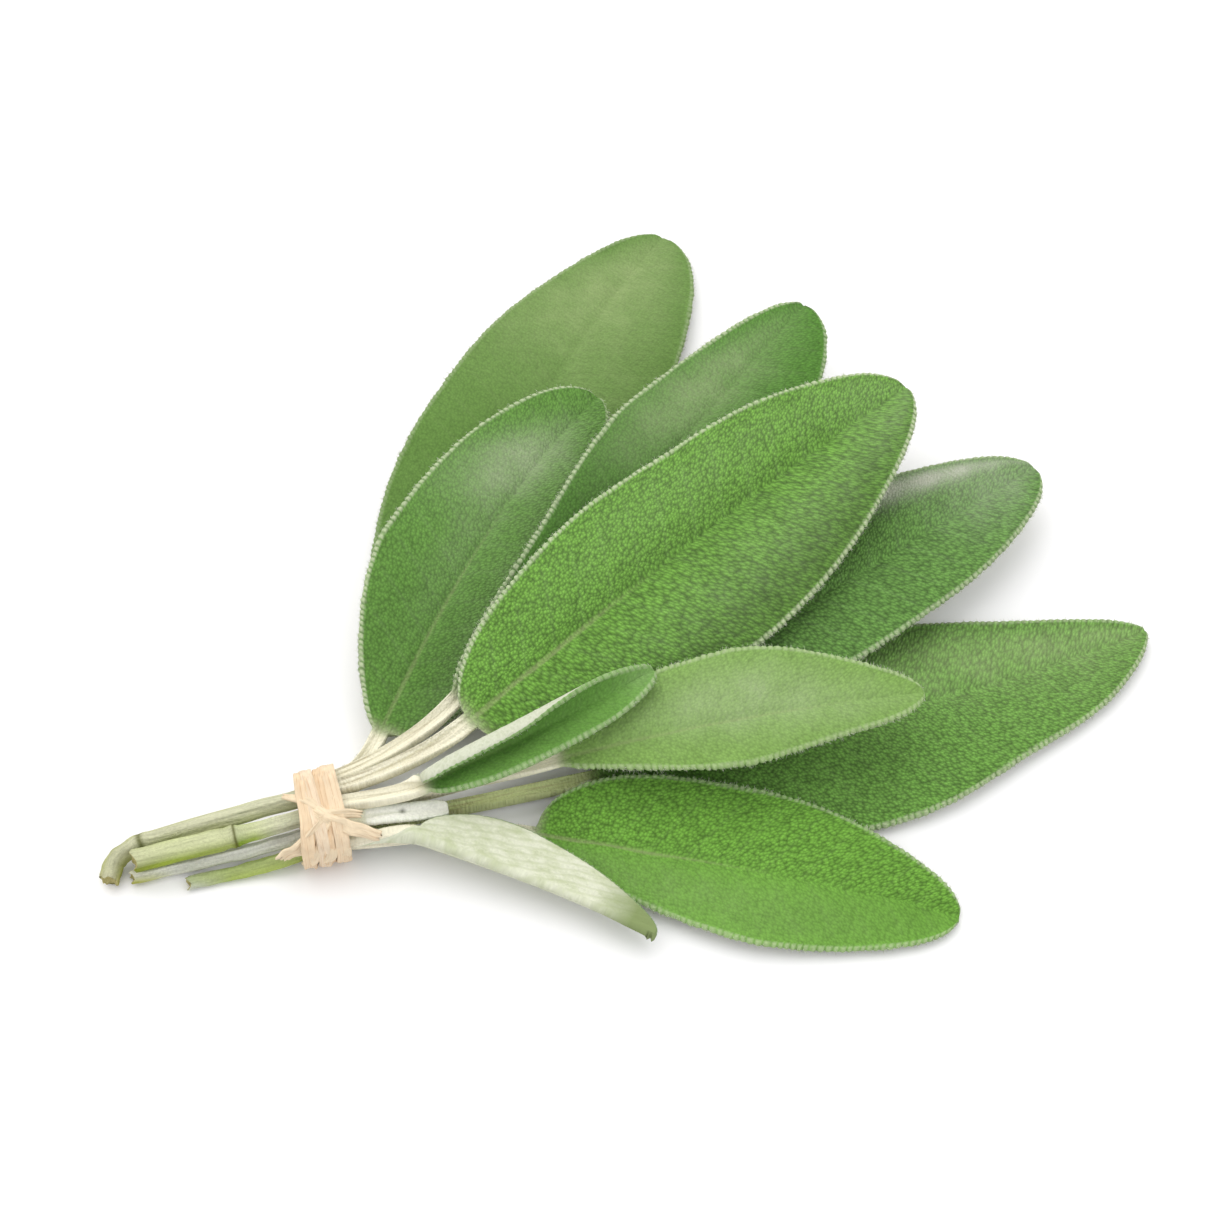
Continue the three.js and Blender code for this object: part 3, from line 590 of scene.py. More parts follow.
def with_teeth(leaf, u, places):
    """The places of every row, drawn out towards the teeth near both margins."""
    c = np.repeat(places[None], len(u), 0)
    inside = (1 - np.abs(c)) * leaf.width_at(u, c)
    pull = np.clip(1 - inside / TOOTH_REACH, 0, 1)
    right = (margin_teeth(leaf, u, -1) / leaf.half_width(leaf.right, u))[:, None]
    left = (margin_teeth(leaf, u, 1) / leaf.half_width(leaf.left, u))[:, None]
    return c + np.where(c < 0, -right, left) * pull


def leaf_marks(leaf, u, c):
    """What the material needs at each place: how much painted shade it has and how felted it is, with
    painted sheen added to the felt, the rib, the rim and the veins, each from 0 to 1, and the place in
    mm along and across."""
    columns = c.shape[1]
    width = leaf.width_at(u, c)
    y = np.clip(c, -1.2, 1.2) * width
    x = in_rows(np.where(u < 0, u * leaf.stalk_length, u * leaf.length), columns)
    blade = smoothstep(u, *BLADE_START)[:, None]

    at_foot, at_tip = RIB_MARK_HALF_WIDTH
    narrowing = lerp(leaf.stalk * at_foot, at_tip, np.clip(u, 0, 1) ** 0.4)
    rib_width = np.where(u < 0, leaf.stalk, narrowing)[:, None]
    strength, fade_start, fade_end = leaf.rib
    fade = lerp(strength, 0, smoothstep(u, fade_start, fade_end))[:, None]
    rib = (1 - smoothstep(np.abs(y), rib_width * 0.3, rib_width)) * fade
    rib = np.maximum(rib, 1 - smoothstep(u, *STALK_TO_RIB)[:, None])
    inside = (1 - np.abs(c)) * width
    left_beads, right_beads = (
        strength * smoothstep(margin_lobes(leaf, u, c_end), *BEAD_RANGE)[:, None]
        for c_end, strength in zip((1, -1), leaf.beads)
    )
    beads = np.where(c < 0, right_beads, left_beads)
    rim = (1 - smoothstep(inside, *RIM_WIDTH)) * blade * (RIM_BASE + beads)

    pitch = leaf.vein_pitch
    slanted = x - VEIN_SLANT * np.abs(y) + VEIN_CURVE * y * y
    between_veins = np.abs((slanted / pitch + VEIN_OFFSET * np.sign(y)) % 1 - 0.5)
    from_vein = np.abs(between_veins - 0.5) * pitch
    vein = 1 - smoothstep(from_vein, VEIN_HALF_WIDTH, VEIN_FADE * pitch)
    vein = vein * blade * smoothstep(inside, 0.3, 0.3 * width)

    t = in_rows(u, columns)
    # felt is the leaf's own felt; patches add painted sheen (positive) and painted shade (negative).
    felt = np.full(c.shape, float(leaf.felt))
    painted_shade = np.zeros(c.shape)
    for at_t, at_c, size_t, size_c, slant, strength in leaf.patches:
        away_t = (t - at_t - slant * (c - at_c)) / size_t
        away_c = (c - at_c) / size_c
        patch = abs(strength) * np.exp(-(away_t**2) - away_c**2)
        felt = felt + patch * (strength > 0)
        painted_shade = painted_shade + patch * (strength < 0)
    felt = np.clip(felt * (1 + 0.1 * ripple(x, y, 4.5, leaf.seed + 2)), 0, 1)
    rim = np.clip(rim, 0, 1)
    return dict(x=x, y=y, painted_shade=np.clip(painted_shade, 0, 1), felt=felt, rib=rib, rim=rim, vein=vein)


def upper_face(leaf, u, places):
    """Points and marks of the upper face: low domes between its veins, a slow unevenness in its
    form, a raised rim, and ridges on its stalk."""
    c = with_teeth(leaf, u, places)
    marks = leaf_marks(leaf, u, c)
    x, y = marks["x"], marks["y"]
    slanted = (x - VEIN_SLANT * np.abs(y)) / DOME_PITCH
    dome = smoothstep(cells(slanted, y / DOME_PITCH + NOISE_TABLE / 2, leaf.seed + 1), 0.0, DOME_MIDDLE)
    inside = np.clip(((1 - np.abs(c)) * leaf.width_at(u, c)) / RELIEF_FROM_MARGIN, 0, 1)
    relief = leaf.pebble * DOME_HEIGHT * (dome - DOME_MIDDLE) * (1 - marks["rib"]) * inside
    relief = relief - VEIN_DEPTH * marks["vein"] * inside
    relief = relief + SWELL_HEIGHT * ripple(x, y, SWELL_LENGTH, leaf.seed + 3) * inside
    relief = (relief + BEAD_HEIGHT * marks["rim"]) * smoothstep(u, *BLADE_START)[:, None]
    relief = relief + ridges_on_stalk(leaf, u, c)
    return leaf.points(u, c) + leaf.normals(u, c) * relief[..., None], marks


def ridges_on_stalk(leaf, u, c):
    """The fine lengthwise ridges of the stalk, which fade into the blade."""
    y = c * leaf.width_at(u, c)
    x = in_rows(u * leaf.stalk_length, c.shape[1])
    fade = (1 - smoothstep(u, -0.05, 0.06))[:, None] * (1 - np.abs(c)) * 2
    ridges = ripple(x * 0.06, y, STALK_RIDGE_PITCH, leaf.seed + 8)
    return STALK_RIDGE_HEIGHT * ridges * np.clip(fade, 0, 1)


def lower_face(leaf, u, places):
    """Points and marks of the underside: the rib and the veins stand out from it."""
    c = with_teeth(leaf, u, places)
    opening = smoothstep(u, OPENING_START, OPENING_END)[:, None]
    narrowed = c * lerp(STALK_UNDERSIDE, 1.0, opening)
    marks = leaf_marks(leaf, u, narrowed)
    depth = leaf.thickness(u, np.clip(narrowed, -1, 1)) + VEIN_DEPTH * marks["vein"]
    return leaf.points(u, narrowed) - leaf.normals(u, narrowed) * depth[..., None], marks


def rim_between(upper, lower, outward):
    """Lines of points that round the margin off between the two faces."""
    return np.stack([lerp(upper, lower, s) + outward * RIM_BULGE for s in RIM_STEPS], 1)


def all_round(upper, under):
    """A mark of the upper face, the left rim, the underside and the right rim, in that order."""
    left, right = (np.repeat(edge, len(RIM_STEPS), 1) for edge in (upper[:, -1:], upper[:, :1]))
    return np.concatenate([upper, left, under[:, ::-1], right], 1)


def build_leaf(leaf):
    """The mesh of one leaf, its upper face and rims in slot 0 and its underside in slot 1, and the
    mesh of its hairs."""
    u = leaf_stations(leaf)
    upper, marks = upper_face(leaf, u, across_places(leaf, COLUMN_PITCH))
    lower, under = lower_face(leaf, u, across_places(leaf, leaf.under_pitch))
    left_out = unit(upper[:, -1] - upper[:, -2])
    right_out = unit(upper[:, 0] - upper[:, 1])
    left_rim = rim_between(upper[:, -1], lower[:, -1], left_out)
    right_rim = rim_between(lower[:, 0], upper[:, 0], right_out)
    rings = np.concatenate([upper, left_rim, lower[:, ::-1], right_rim], 1)

    slots = np.ones(rings.shape[1], int)
    slots[:upper.shape[1] + len(RIM_STEPS)] = 0
    slots[-len(RIM_STEPS) - 1:] = 0
    mesh = ring_mesh(leaf.name, rings, np.tile(slots, (len(rings) - 1, 1)))
    fields = {name: all_round(marks[name], under[name]) for name in marks}
    spread_marks(mesh, fields, LEAF_MARKS)
    vein = mesh.attributes.new("vein", "FLOAT", "POINT")
    vein.data.foreach_set("value", with_ends(fields["vein"]).astype(np.float32))
    hairs = [
        margin_hairs(leaf, u, upper[:, -1], lower[:, -1], left_out, 1),
        margin_hairs(leaf, u, upper[:, 0], lower[:, 0], right_out, -1),
    ]
    roots, directions, lengths = (np.concatenate(both) for both in zip(*hairs))
    return mesh, hair_mesh(f"{leaf.name}_hairs", roots, directions, lengths)


HAIRS_PER_MM = 6.0
HAIR_LENGTH = 0.45
HAIR_RADIUS = 0.026
STALK_HAIR_SHARE = 0.6
HAIR_STAND_OFF = 0.02
# How far the hairs lean along the margin and down, mean and spread, and the range of their lengths.
HAIR_LEAN = (0.25, 0.4)
HAIR_TILT = (-0.1, 0.35)
HAIR_LENGTH_RANGE = (0.5, 1.4)
HAIR_BEND = 0.12
HAIR_DROOP = -0.05
HAIR_WAIST = 0.7


def margin_hairs(leaf, u, upper, lower, outward, sign):
    """Roots, directions and lengths of the fine hairs that stand out from one margin."""
    draw = np.random.default_rng(leaf.seed + 60 + sign)
    run = run_along(upper)
    count = round(run[-1] * HAIRS_PER_MM)
    place = np.sort(draw.uniform(0, run[-1], count))
    row = np.clip(np.interp(place, run, np.arange(len(run))), 0, len(run) - 1.001)
    index = row.astype(int)
    part = (row - index)[:, None]

    def at(values):
        return lerp(values[index], values[index + 1], part)

    down = unit(lower - upper)
    roots = lerp(at(upper), at(lower), draw.uniform(0.0, 0.9, count)[:, None])
    along = unit(at(np.gradient(upper, axis=0)))
    lean = draw.normal(*HAIR_LEAN, count)[:, None]
    tilt = draw.normal(*HAIR_TILT, count)[:, None]
    directions = unit(at(outward) + along * lean + at(down) * tilt)
    roots = roots + directions * HAIR_STAND_OFF
    size = np.where(at(u[:, None])[:, 0] < 0, STALK_HAIR_SHARE, 1.0)
    lengths = HAIR_LENGTH * leaf.hair * size * draw.uniform(*HAIR_LENGTH_RANGE, count)
    return roots, directions, lengths


def hair_mesh(name, roots, directions, lengths):
    """Fine tapered hairs, each a closed three-sided spike with a bend half way."""
    count = len(roots)
    draw = np.random.default_rng(count)
    side = unit(np.cross(directions, UP + 0.1))
    other = np.cross(directions, side)
    bend = draw.normal(0, HAIR_BEND, (count, 1)) * side
    bend = bend + draw.normal(HAIR_DROOP, HAIR_BEND, (count, 1)) * other
    middle = roots + (directions * 0.55 + bend * 0.3) * lengths[:, None]
    tips = roots + (directions + bend) * lengths[:, None]
    angles = np.arange(3)[None, :, None] * math.tau / 3
    ring = np.cos(angles) * side[:, None] + np.sin(angles) * other[:, None]
    base = roots[:, None] + HAIR_RADIUS * ring
    waist = middle[:, None] + HAIR_WAIST * HAIR_RADIUS * ring
    points = np.concatenate([base, waist, tips[:, None]], 1).reshape(-1, 3)
    pattern = np.array([
        (0, 1, 4), (0, 4, 3), (1, 2, 5), (1, 5, 4), (2, 0, 3), (2, 3, 5),
        (3, 4, 6), (4, 5, 6), (5, 3, 6), (0, 2, 1),
    ])
    faces = (np.arange(count)[:, None, None] * 7 + pattern[None]).reshape(-1, 3)
    return smooth_mesh(name, points, faces.tolist())


# ---------------------------------------------------------------- meshes and their marks


def smooth_mesh(name, points, faces):
    """A smoothly shaded mesh from points of the layout in mm."""
    mesh = bpy.data.meshes.new(name)
    mesh.from_pydata(to_frame(points).tolist(), [], faces)
    mesh.polygons.foreach_set("use_smooth", np.ones(len(mesh.polygons), bool))
    return mesh


def ring_quads(rings):
    """The faces from each ring of points to the next, and from the last ring to the first."""
    rows, sides = rings.shape[:2]
    index = np.arange(rows * sides).reshape(rows, sides)
    ahead = np.roll(index, -1, 0)
    return np.stack([index, ahead, np.roll(ahead, -1, 1), np.roll(index, -1, 1)], -1)


def loop_mesh(name, rings):
    """A mesh through rings of points, the last ring joined to the first."""
    return smooth_mesh(name, rings.reshape(-1, 3), ring_quads(rings).reshape(-1, 4).tolist())


def ring_mesh(name, rings, slots=None):
    """A closed mesh through rings of points, with a fan at each end. slots gives the material of
    the faces that start at each place of each ring but the last."""
    quads = ring_quads(rings)
    points = np.concatenate([rings.reshape(-1, 3), [rings[0].mean(0), rings[-1].mean(0)]])
    first, last = len(points) - 2, len(points) - 1
    start_fan = [(first, a, b) for a, _, _, b in quads[0].tolist()]
    end_fan = [(last, b, a) for a, _, _, b in quads[-1].tolist()]
    mesh = smooth_mesh(name, points, quads[:-1].reshape(-1, 4).tolist() + start_fan + end_fan)
    if slots is not None:
        all_slots = np.concatenate([slots.reshape(-1), slots[0], slots[-1]])
        mesh.polygons.foreach_set("material_index", all_slots)
    return mesh


def with_ends(values):
    """The values of all rings in one row, with those of the two end points after them."""
    flat = values.reshape(-1)
    return np.concatenate([flat, flat[:1], flat[-1:]])


def spread_place(mesh, x, y):
    """Writes the place of each point along and across its piece, in mm."""
    place = mesh.attributes.new("place", "FLOAT_VECTOR", "POINT")
    place.data.foreach_set("vector", np.stack([x, y, 0 * x], -1).astype(np.float32).reshape(-1))


def spread_marks(mesh, fields, names):
    """Writes four of the fields as the marks of each point, and its place."""
    marks = mesh.attributes.new("marks", "FLOAT_COLOR", "POINT")
    four = np.stack([with_ends(fields[name]) for name in names], -1)
    marks.data.foreach_set("color", four.astype(np.float32).reshape(-1))
    spread_place(mesh, with_ends(fields["x"]), with_ends(fields["y"]))


# ---------------------------------------------------------------- materials


class Nodes:
    """A material's node tree, with short ways to add what the materials here need. place() is in
    mm, so a noise of scale 4 there has about four waves to the mm."""

    def __init__(self, name, roughness, sheen=0.0, specular=0.25):
        self.material = bpy.data.materials.new(name)
        self.material.use_nodes = True
        self.tree = self.material.node_tree
        self.shader = self.tree.nodes["Principled BSDF"]
        self.shader.inputs["Roughness"].default_value = roughness
        self.shader.inputs["Specular IOR Level"].default_value = specular
        self.shader.inputs["Sheen Weight"].default_value = sheen

    def add(self, kind, inputs=None, **settings):
        node = self.tree.nodes.new(kind)
        for key, value in settings.items():
            setattr(node, key, value)
        for key, value in (inputs or {}).items():
            self.put(node.inputs[key], value)
        return node

    def put(self, socket, value):
        if isinstance(value, bpy.types.NodeSocket):
            self.tree.links.new(value, socket)
        elif isinstance(value, tuple) and len(value) == 3 and socket.type == "RGBA":
            socket.default_value = (*value, 1)
        else:
            socket.default_value = value

    def math(self, operation, a, b=0.0):
        return self.add("ShaderNodeMath", {0: a, 1: b}, operation=operation).outputs[0]

    def times(self, a, b):
        return self.math("MULTIPLY", a, b)

    def plus(self, a, b):
        return self.math("ADD", a, b)

    def minus(self, a, b):
        return self.math("SUBTRACT", a, b)

    def ramp(self, value, start, end, low=0.0, high=1.0):
        inputs = {"Value": value, "From Min": start, "From Max": end, "To Min": low, "To Max": high}
        return self.add("ShaderNodeMapRange", inputs, clamp=True).outputs[0]

    def mix(self, share, a, b):
        """The colour that lies that share of the way from a to b."""
        return self.add("ShaderNodeMix", {0: share, 6: a, 7: b}, data_type="RGBA").outputs[2]

    def between(self, share, a, b):
        """The number that lies that share of the way from a to b."""
        return self.add("ShaderNodeMix", {0: share, 2: a, 3: b}, data_type="FLOAT").outputs[0]

    def stops(self, value, bands):
        """A colour that runs through the bands, each a place from 0 to 1 and a screen colour."""
        node = self.add("ShaderNodeValToRGB", {"Fac": value})
        while len(node.color_ramp.elements) < len(bands):
            node.color_ramp.elements.new(1.0)
        for element, (place, color) in zip(node.color_ramp.elements, bands):
            element.position = place
            element.color = (*surface(*color), 1)
        return node.outputs[0]

    def stretched(self, place, along, across):
        """The place scaled by its own amount along and across."""
        inputs = {0: place, 1: (along, across, 1.0)}
        return self.add("ShaderNodeVectorMath", inputs, operation="MULTIPLY").outputs[0]

    def shade(self, color, amount):
        """The colour times an amount."""
        inputs = {0: color, "Scale": amount}
        return self.add("ShaderNodeVectorMath", inputs, operation="SCALE").outputs[0]

    def speckle(self, color, noise, low, high):
        """The colour, darker where the noise is low and lighter where it is high."""
        return self.shade(color, self.ramp(noise, 0.25, 0.75, low, high))

    def noise(self, place, scale, detail=2.0, roughness=0.5):
        inputs = {"Vector": place, "Scale": scale, "Detail": detail, "Roughness": roughness}
        return self.add("ShaderNodeTexNoise", inputs).outputs["Fac"]

    def attribute(self, name, output):
        return self.add("ShaderNodeAttribute", attribute_name=name).outputs[output]

    def place(self):
        """The place in mm along and across the piece."""
        return self.attribute("place", "Vector")

    def object_place(self):
        """The place in metres in the frame, for what has no places of its own."""
        return self.add("ShaderNodeTexCoord").outputs["Object"]

    def parts(self, vector):
        return self.add("ShaderNodeSeparateXYZ", {0: vector}).outputs

    def channels(self, color):
        return self.add("ShaderNodeSeparateColor", {"Color": color}).outputs

    def bump(self, height, distance, strength=1.0):
        inputs = {"Height": height, "Distance": distance, "Strength": strength}
        self.put(self.shader.inputs["Normal"], self.add("ShaderNodeBump", inputs).outputs[0])

    def color(self, value):
        self.put(self.shader.inputs["Base Color"], value)


# The distance between pebbles, and how steeply they slant at the foot and at the tip.
PEBBLE_PITCH = 0.4
PEBBLE_SLANT = (0.1, 0.7)
FOLDED_VEIN_PITCH = 0.85
FOLDED_TIP_RANGE = (22.0, 27.5)
LEAF_SPECULAR = 0.12
# Bump depths in metres.
UPPER_BUMP = 0.00016
UNDER_BUMP = 0.00012
STALK_LINE = surface(176, 160, 122)
RIB = surface(158, 170, 118)
RIM = surface(206, 217, 180)
UNDERSIDE = surface(204, 209, 184)
UNDERSIDE_NET = surface(222, 225, 206)
FOLDED_FELT = surface(230, 233, 210)
FOLDED_GREEN = surface(192, 202, 158)
FOLDED_VEIN = surface(176, 186, 140)
FOLDED_TIP = surface(138, 154, 102)
HAIR_DARK = surface(196, 204, 178)
HAIR_LIGHT = surface(228, 230, 212)


def upper_material(leaf):
    """The green upper face: pebbles, lighter on their domes and darker in their grooves partly by
    painted shade and highlight, a felt of fine hairs with patches of painted sheen, patches of painted
    shade, a pale midrib and a pale margin.
    """
    n = Nodes(f"{leaf.name}_green", 0.75, sheen=0.02, specular=LEAF_SPECULAR)
    marks = n.add("ShaderNodeAttribute", attribute_name="marks")
    painted_shade, felt, rib = n.channels(marks.outputs["Color"])[:3]
    rim = marks.outputs["Alpha"]
    place = n.place()
    vein = n.attribute("vein", "Fac")
    x = n.parts(place)[0]
    pebble, tone = pebbles(n, leaf, place)

    slow = n.noise(place, 0.09, 3.0)
    fine = n.noise(place, 4.0, 3.0, 0.65)
    strands = n.noise(n.stretched(place, 2.6, 0.5), 1.0, 2.0, 0.6)
    lengthwise = n.noise(n.stretched(place, 0.15, 3.0), 1.0, 3.0, 0.6)
    # Pebble colour: lighter domes, darker grooves; partly own tone, partly painted shade and highlight.
    pebble_tone_and_shade = 0.38 * leaf.pebble + 0.04
    uneven = 0.25 * leaf.pebble
    face = n.shade(surface(*leaf.green), n.ramp(pebble, 0.0, 1.0, 1 - pebble_tone_and_shade, 1 + 0.8 * pebble_tone_and_shade))
    face = n.mix(n.ramp(slow, 0.35, 0.7, 0.0, 0.3), face, n.shade(face, 0.84))
    face = n.shade(face, n.ramp(strands, 0.3, 0.7, 0.92, 1.08))
    face = n.shade(face, n.ramp(tone, 0.0, 1.0, 1 - uneven, 1 + uneven))
    face = n.speckle(face, fine, 0.86, 1.14)
    pale = surface(*leaf.pale)
    face = n.mix(n.times(vein, 0.03), face, pale)
    hairs = n.times(n.ramp(fine, 0.3, 0.7, 0.8, 1.2), n.ramp(strands, 0.3, 0.7, 0.85, 1.15))
    # Felt and patches of painted sheen, darkened by the patches of painted shade.
    felted = n.shade(n.mix(n.times(felt, hairs), face, pale), n.minus(1.0, painted_shade))
    midrib = n.mix(n.ramp(x, -1.5, 1.5), stalk_color(n, leaf, lengthwise), RIB)
    ribbed = n.mix(rib, felted, n.speckle(midrib, fine, 0.88, 1.08))
    n.color(n.mix(n.times(rim, n.ramp(fine, 0.3, 0.7, 0.7, 1.0)), ribbed, RIM))
    n.bump(n.plus(n.times(fine, 0.5), n.times(pebble, leaf.pebble)), UPPER_BUMP, 0.9)
    return n.material


def stalk_color(n, leaf, lengthwise):
    """The pale stalk, with fine brownish lines along it."""
    line = n.ramp(lengthwise, 0.52, 0.7, 0.0, 0.55)
    pale = n.shade(surface(*leaf.petiole), n.ramp(lengthwise, 0.3, 0.6, 1.02, 0.9))
    return n.mix(line, pale, STALK_LINE)


def pebbles(n, leaf, place):
    """The pebbles between the finest veins: 1 in the middle of one and 0 in its groove, and a value
    that each pebble has for itself. They slant from the midrib, more so towards the tip, and may be
    longer or fainter in one half of the leaf."""
    x, y = n.parts(place)[:2]
    left, right = leaf.stretch
    across = n.math("DIVIDE", y, n.ramp(y, -2.0, 2.0, right, left))
    slant = n.times(n.math("ABSOLUTE", y), n.ramp(x, 0.0, leaf.length, *PEBBLE_SLANT))
    vector = n.add("ShaderNodeCombineXYZ", {0: n.minus(x, slant), 1: across}).outputs[0]
    inputs = {"Vector": vector, "Scale": 1 / PEBBLE_PITCH, "Randomness": 0.9}
    cell = n.add("ShaderNodeTexVoronoi", inputs, voronoi_dimensions="2D").outputs
    left, right = leaf.grain
    strength = n.ramp(y, -1.0, 1.0, right, left)
    dome = n.ramp(cell["Distance"], 0.05, 0.75, 1.0, 0.0)
    tone = n.channels(cell["Color"])[0]
    return n.between(strength, 0.6, dome), n.between(strength, 0.5, tone)


def folded_material():
    """The underside of the folded leaf: felt over fine slanting veins, greener between them."""
    n = Nodes("folded_underside", 0.85, specular=LEAF_SPECULAR)
    place = n.place()
    x, y = n.parts(place)[:2]
    bend = n.times(n.noise(place, 0.25, 2.0), 0.8)
    aslant = n.plus(n.minus(n.math("ABSOLUTE", y), n.times(x, 0.2)), bend)
    wave = n.math("SINE", n.times(aslant, math.tau / FOLDED_VEIN_PITCH))
    fine = n.noise(place, 3.2, 4.0, 0.7)
    blotch = n.noise(n.stretched(place, 0.35, 0.8), 1.0, 3.0, 0.65)
    line = n.times(n.ramp(wave, 0.1, 1.0), n.ramp(fine, 0.3, 0.6, 0.3, 1.0))
    greener = n.ramp(blotch, 0.42, 0.7, 0.0, 0.75)
    felt = n.mix(greener, FOLDED_FELT, FOLDED_GREEN)
    color = n.speckle(n.mix(n.times(line, 0.36), felt, FOLDED_VEIN), fine, 0.86, 1.08)
    n.color(n.mix(n.ramp(x, *FOLDED_TIP_RANGE), color, FOLDED_TIP))
    n.bump(n.minus(n.times(fine, 0.9), n.times(line, 0.35)), UNDER_BUMP, 0.9)
    return n.material


def under_material():
    """The pale felted underside, with a fine net of veins."""
    n = Nodes("underside_felt", 0.85, specular=LEAF_SPECULAR)
    place = n.place()
    vein = n.attribute("vein", "Fac")
    fine = n.noise(place, 3.5, 4.0, 0.7)
    net = n.add("ShaderNodeTexVoronoi", {"Vector": place, "Scale": 1.5}, feature="DISTANCE_TO_EDGE")
    wall = n.times(n.ramp(net.outputs["Distance"], 0.0, 0.25, 1.0, 0.0), 0.6)
    lines = n.math("MAXIMUM", wall, vein)
    felt = n.mix(lines, UNDERSIDE, UNDERSIDE_NET)
    n.color(n.speckle(felt, fine, 0.88, 1.08))
    n.bump(n.plus(lines, n.times(fine, 0.5)), UNDER_BUMP, 0.7)
    return n.material


def hair_material():
    """The fine white hairs of the margins."""
    n = Nodes("margin_hairs", 0.6)
    patch = n.noise(n.object_place(), 300.0, 2.0)
    n.color(n.mix(n.ramp(patch, 0.35, 0.65), HAIR_DARK, HAIR_LIGHT))
    return n.material


# ---------------------------------------------------------------- stems

# Each stem: the points of its centre line from its cut end to inside the tie, its half thickness
# along them, how far its square section is turned (degrees), where its node swells it and by how
# much. Then the look: its colour at places along it, and the colour of the painted light along its
# top.
STEMS = [
    dict(
        name="stem_upper", slot="stem_felt", turn=10, node=0.55, swell=0.2,
        points=[
            (-25.7, 0.0, 1.3), (-24.4, 2.1, 1.7), (-22.3, 2.95, 2.3), (-13.7, 3.1, 3.5),
            (-0.25, 3.0, 4.4),
        ],
        half=[1.15, 1.15, 1.1, 1.05, 1.05],
        bands=[
            (0.0, (178, 172, 92)), (0.1, (170, 176, 84)), (0.5, (178, 182, 116)),
            (1.0, (206, 208, 168)),
        ],
        lit_top=(222, 222, 192),
    ),
    dict(
        name="stem_square", slot="stem_green", turn=45, node=0.47, swell=0.15,
        points=[(-22.3, 0.5, 3.4), (-11.9, 0.4, 3.7), (-7.8, 0.2, 4.1), (-0.25, 0.0, 5.0)],
        half=[1.35, 1.3, 1.0, 0.95],
        bands=[
            (0.0, (140, 152, 44)), (0.12, (164, 184, 66)), (0.4, (182, 196, 110)),
            (0.46, (140, 150, 60)), (0.5, (152, 184, 56)), (0.66, (182, 204, 96)),
            (0.8, (230, 232, 204)),
        ],
        lit_top=(226, 228, 190),
    ),
    dict(
        name="stem_pale", slot="stem_felt", turn=0, node=0, swell=0,
        points=[(-22.9, -0.1, 0.95), (-14.8, -0.4, 1.1), (-7.0, -0.9, 1.9), (-0.25, -1.0, 2.6)],
        half=[0.8, 0.8, 0.85, 0.9],
        bands=[
            (0.0, (176, 178, 70)), (0.1, (206, 210, 150)), (0.2, (228, 230, 212)),
            (1.0, (226, 228, 212)),
        ],
        lit_top=(238, 238, 228),
    ),
    dict(
        name="stem_lower", slot="stem_green", turn=0, node=0, swell=0,
        points=[(-16.7, -2.5, 0.7), (-11, -2.7, 0.7), (-5.5, -3.0, 1.5), (-0.25, -3.1, 2.7)],
        half=[0.8, 0.85, 0.9, 0.9],
        bands=[
            (0.0, (216, 220, 204)), (0.14, (196, 206, 160)), (0.3, (178, 198, 100)),
            (1.0, (186, 202, 112)),
        ],
        lit_top=(176, 190, 126),
    ),
]
STEM_SEED = 31
STEM_SQUARENESS = 0.09
STEM_RIDGE_HEIGHT = 0.03
STEM_UNEVENNESS = 0.04
NODE_SHARE = 0.04
NODE_GROOVE_WIDTH = 0.35
NODE_GROOVE_DEPTH = 0.1
CUT_ROUGHNESS = 0.25
# The hollow of the cut end, from its edge inwards: share of the radius and depth.
CUT_HOLLOW = [(0.9, -0.06), (0.72, 0.1), (0.45, 0.24), (0.22, 0.3)]
STEM_MARKS = ("along", "lit_top", "node", "cut")
STEM_BUMP = 0.00025
CUT_BUMP = 0.0002
NODE_COLOR = surface(92, 96, 30)
CUT_WOOD = surface(150, 140, 78)
CUT_PITH = surface(206, 198, 142)
STEM_ROW_PITCH = 0.2
STEM_SIDES = 56


def smooth_line(points, t):
    """Points and directions at t on a smooth curve through points (a centripetal Catmull-Rom)."""
    points = np.asarray(points, float)
    padded = np.concatenate([[2 * points[0] - points[1]], points, [2 * points[-1] - points[-2]]])
    place = np.clip(t, 0, 1) * (len(points) - 1)
    index = np.minimum(place.astype(int), len(points) - 2)
    w = (place - index)[:, None]
    p0, p1, p2, p3 = (padded[index + k] for k in range(4))
    spans = (p1 - p0, p2 - p1, p3 - p2)
    d0, d1, d2 = (np.sqrt(np.linalg.norm(span, axis=1))[:, None] for span in spans)
    leave = ((p1 - p0) / d0 - (p2 - p0) / (d0 + d1) + (p2 - p1) / d1) * d1
    arrive = ((p2 - p1) / d1 - (p3 - p1) / (d1 + d2) + (p3 - p2) / d2) * d1
    square = 3 * (p2 - p1) - 2 * leave - arrive
    cube = 2 * (p1 - p2) + leave + arrive
    point = p1 + leave * w + square * w**2 + cube * w**3
    slope = leave + 2 * square * w + 3 * cube * w**2
    return point, unit(slope)


def values_along(values, t):
    """The values at even places along a line, read off at t."""
    return np.interp(t, np.linspace(0, 1, len(values)), values)


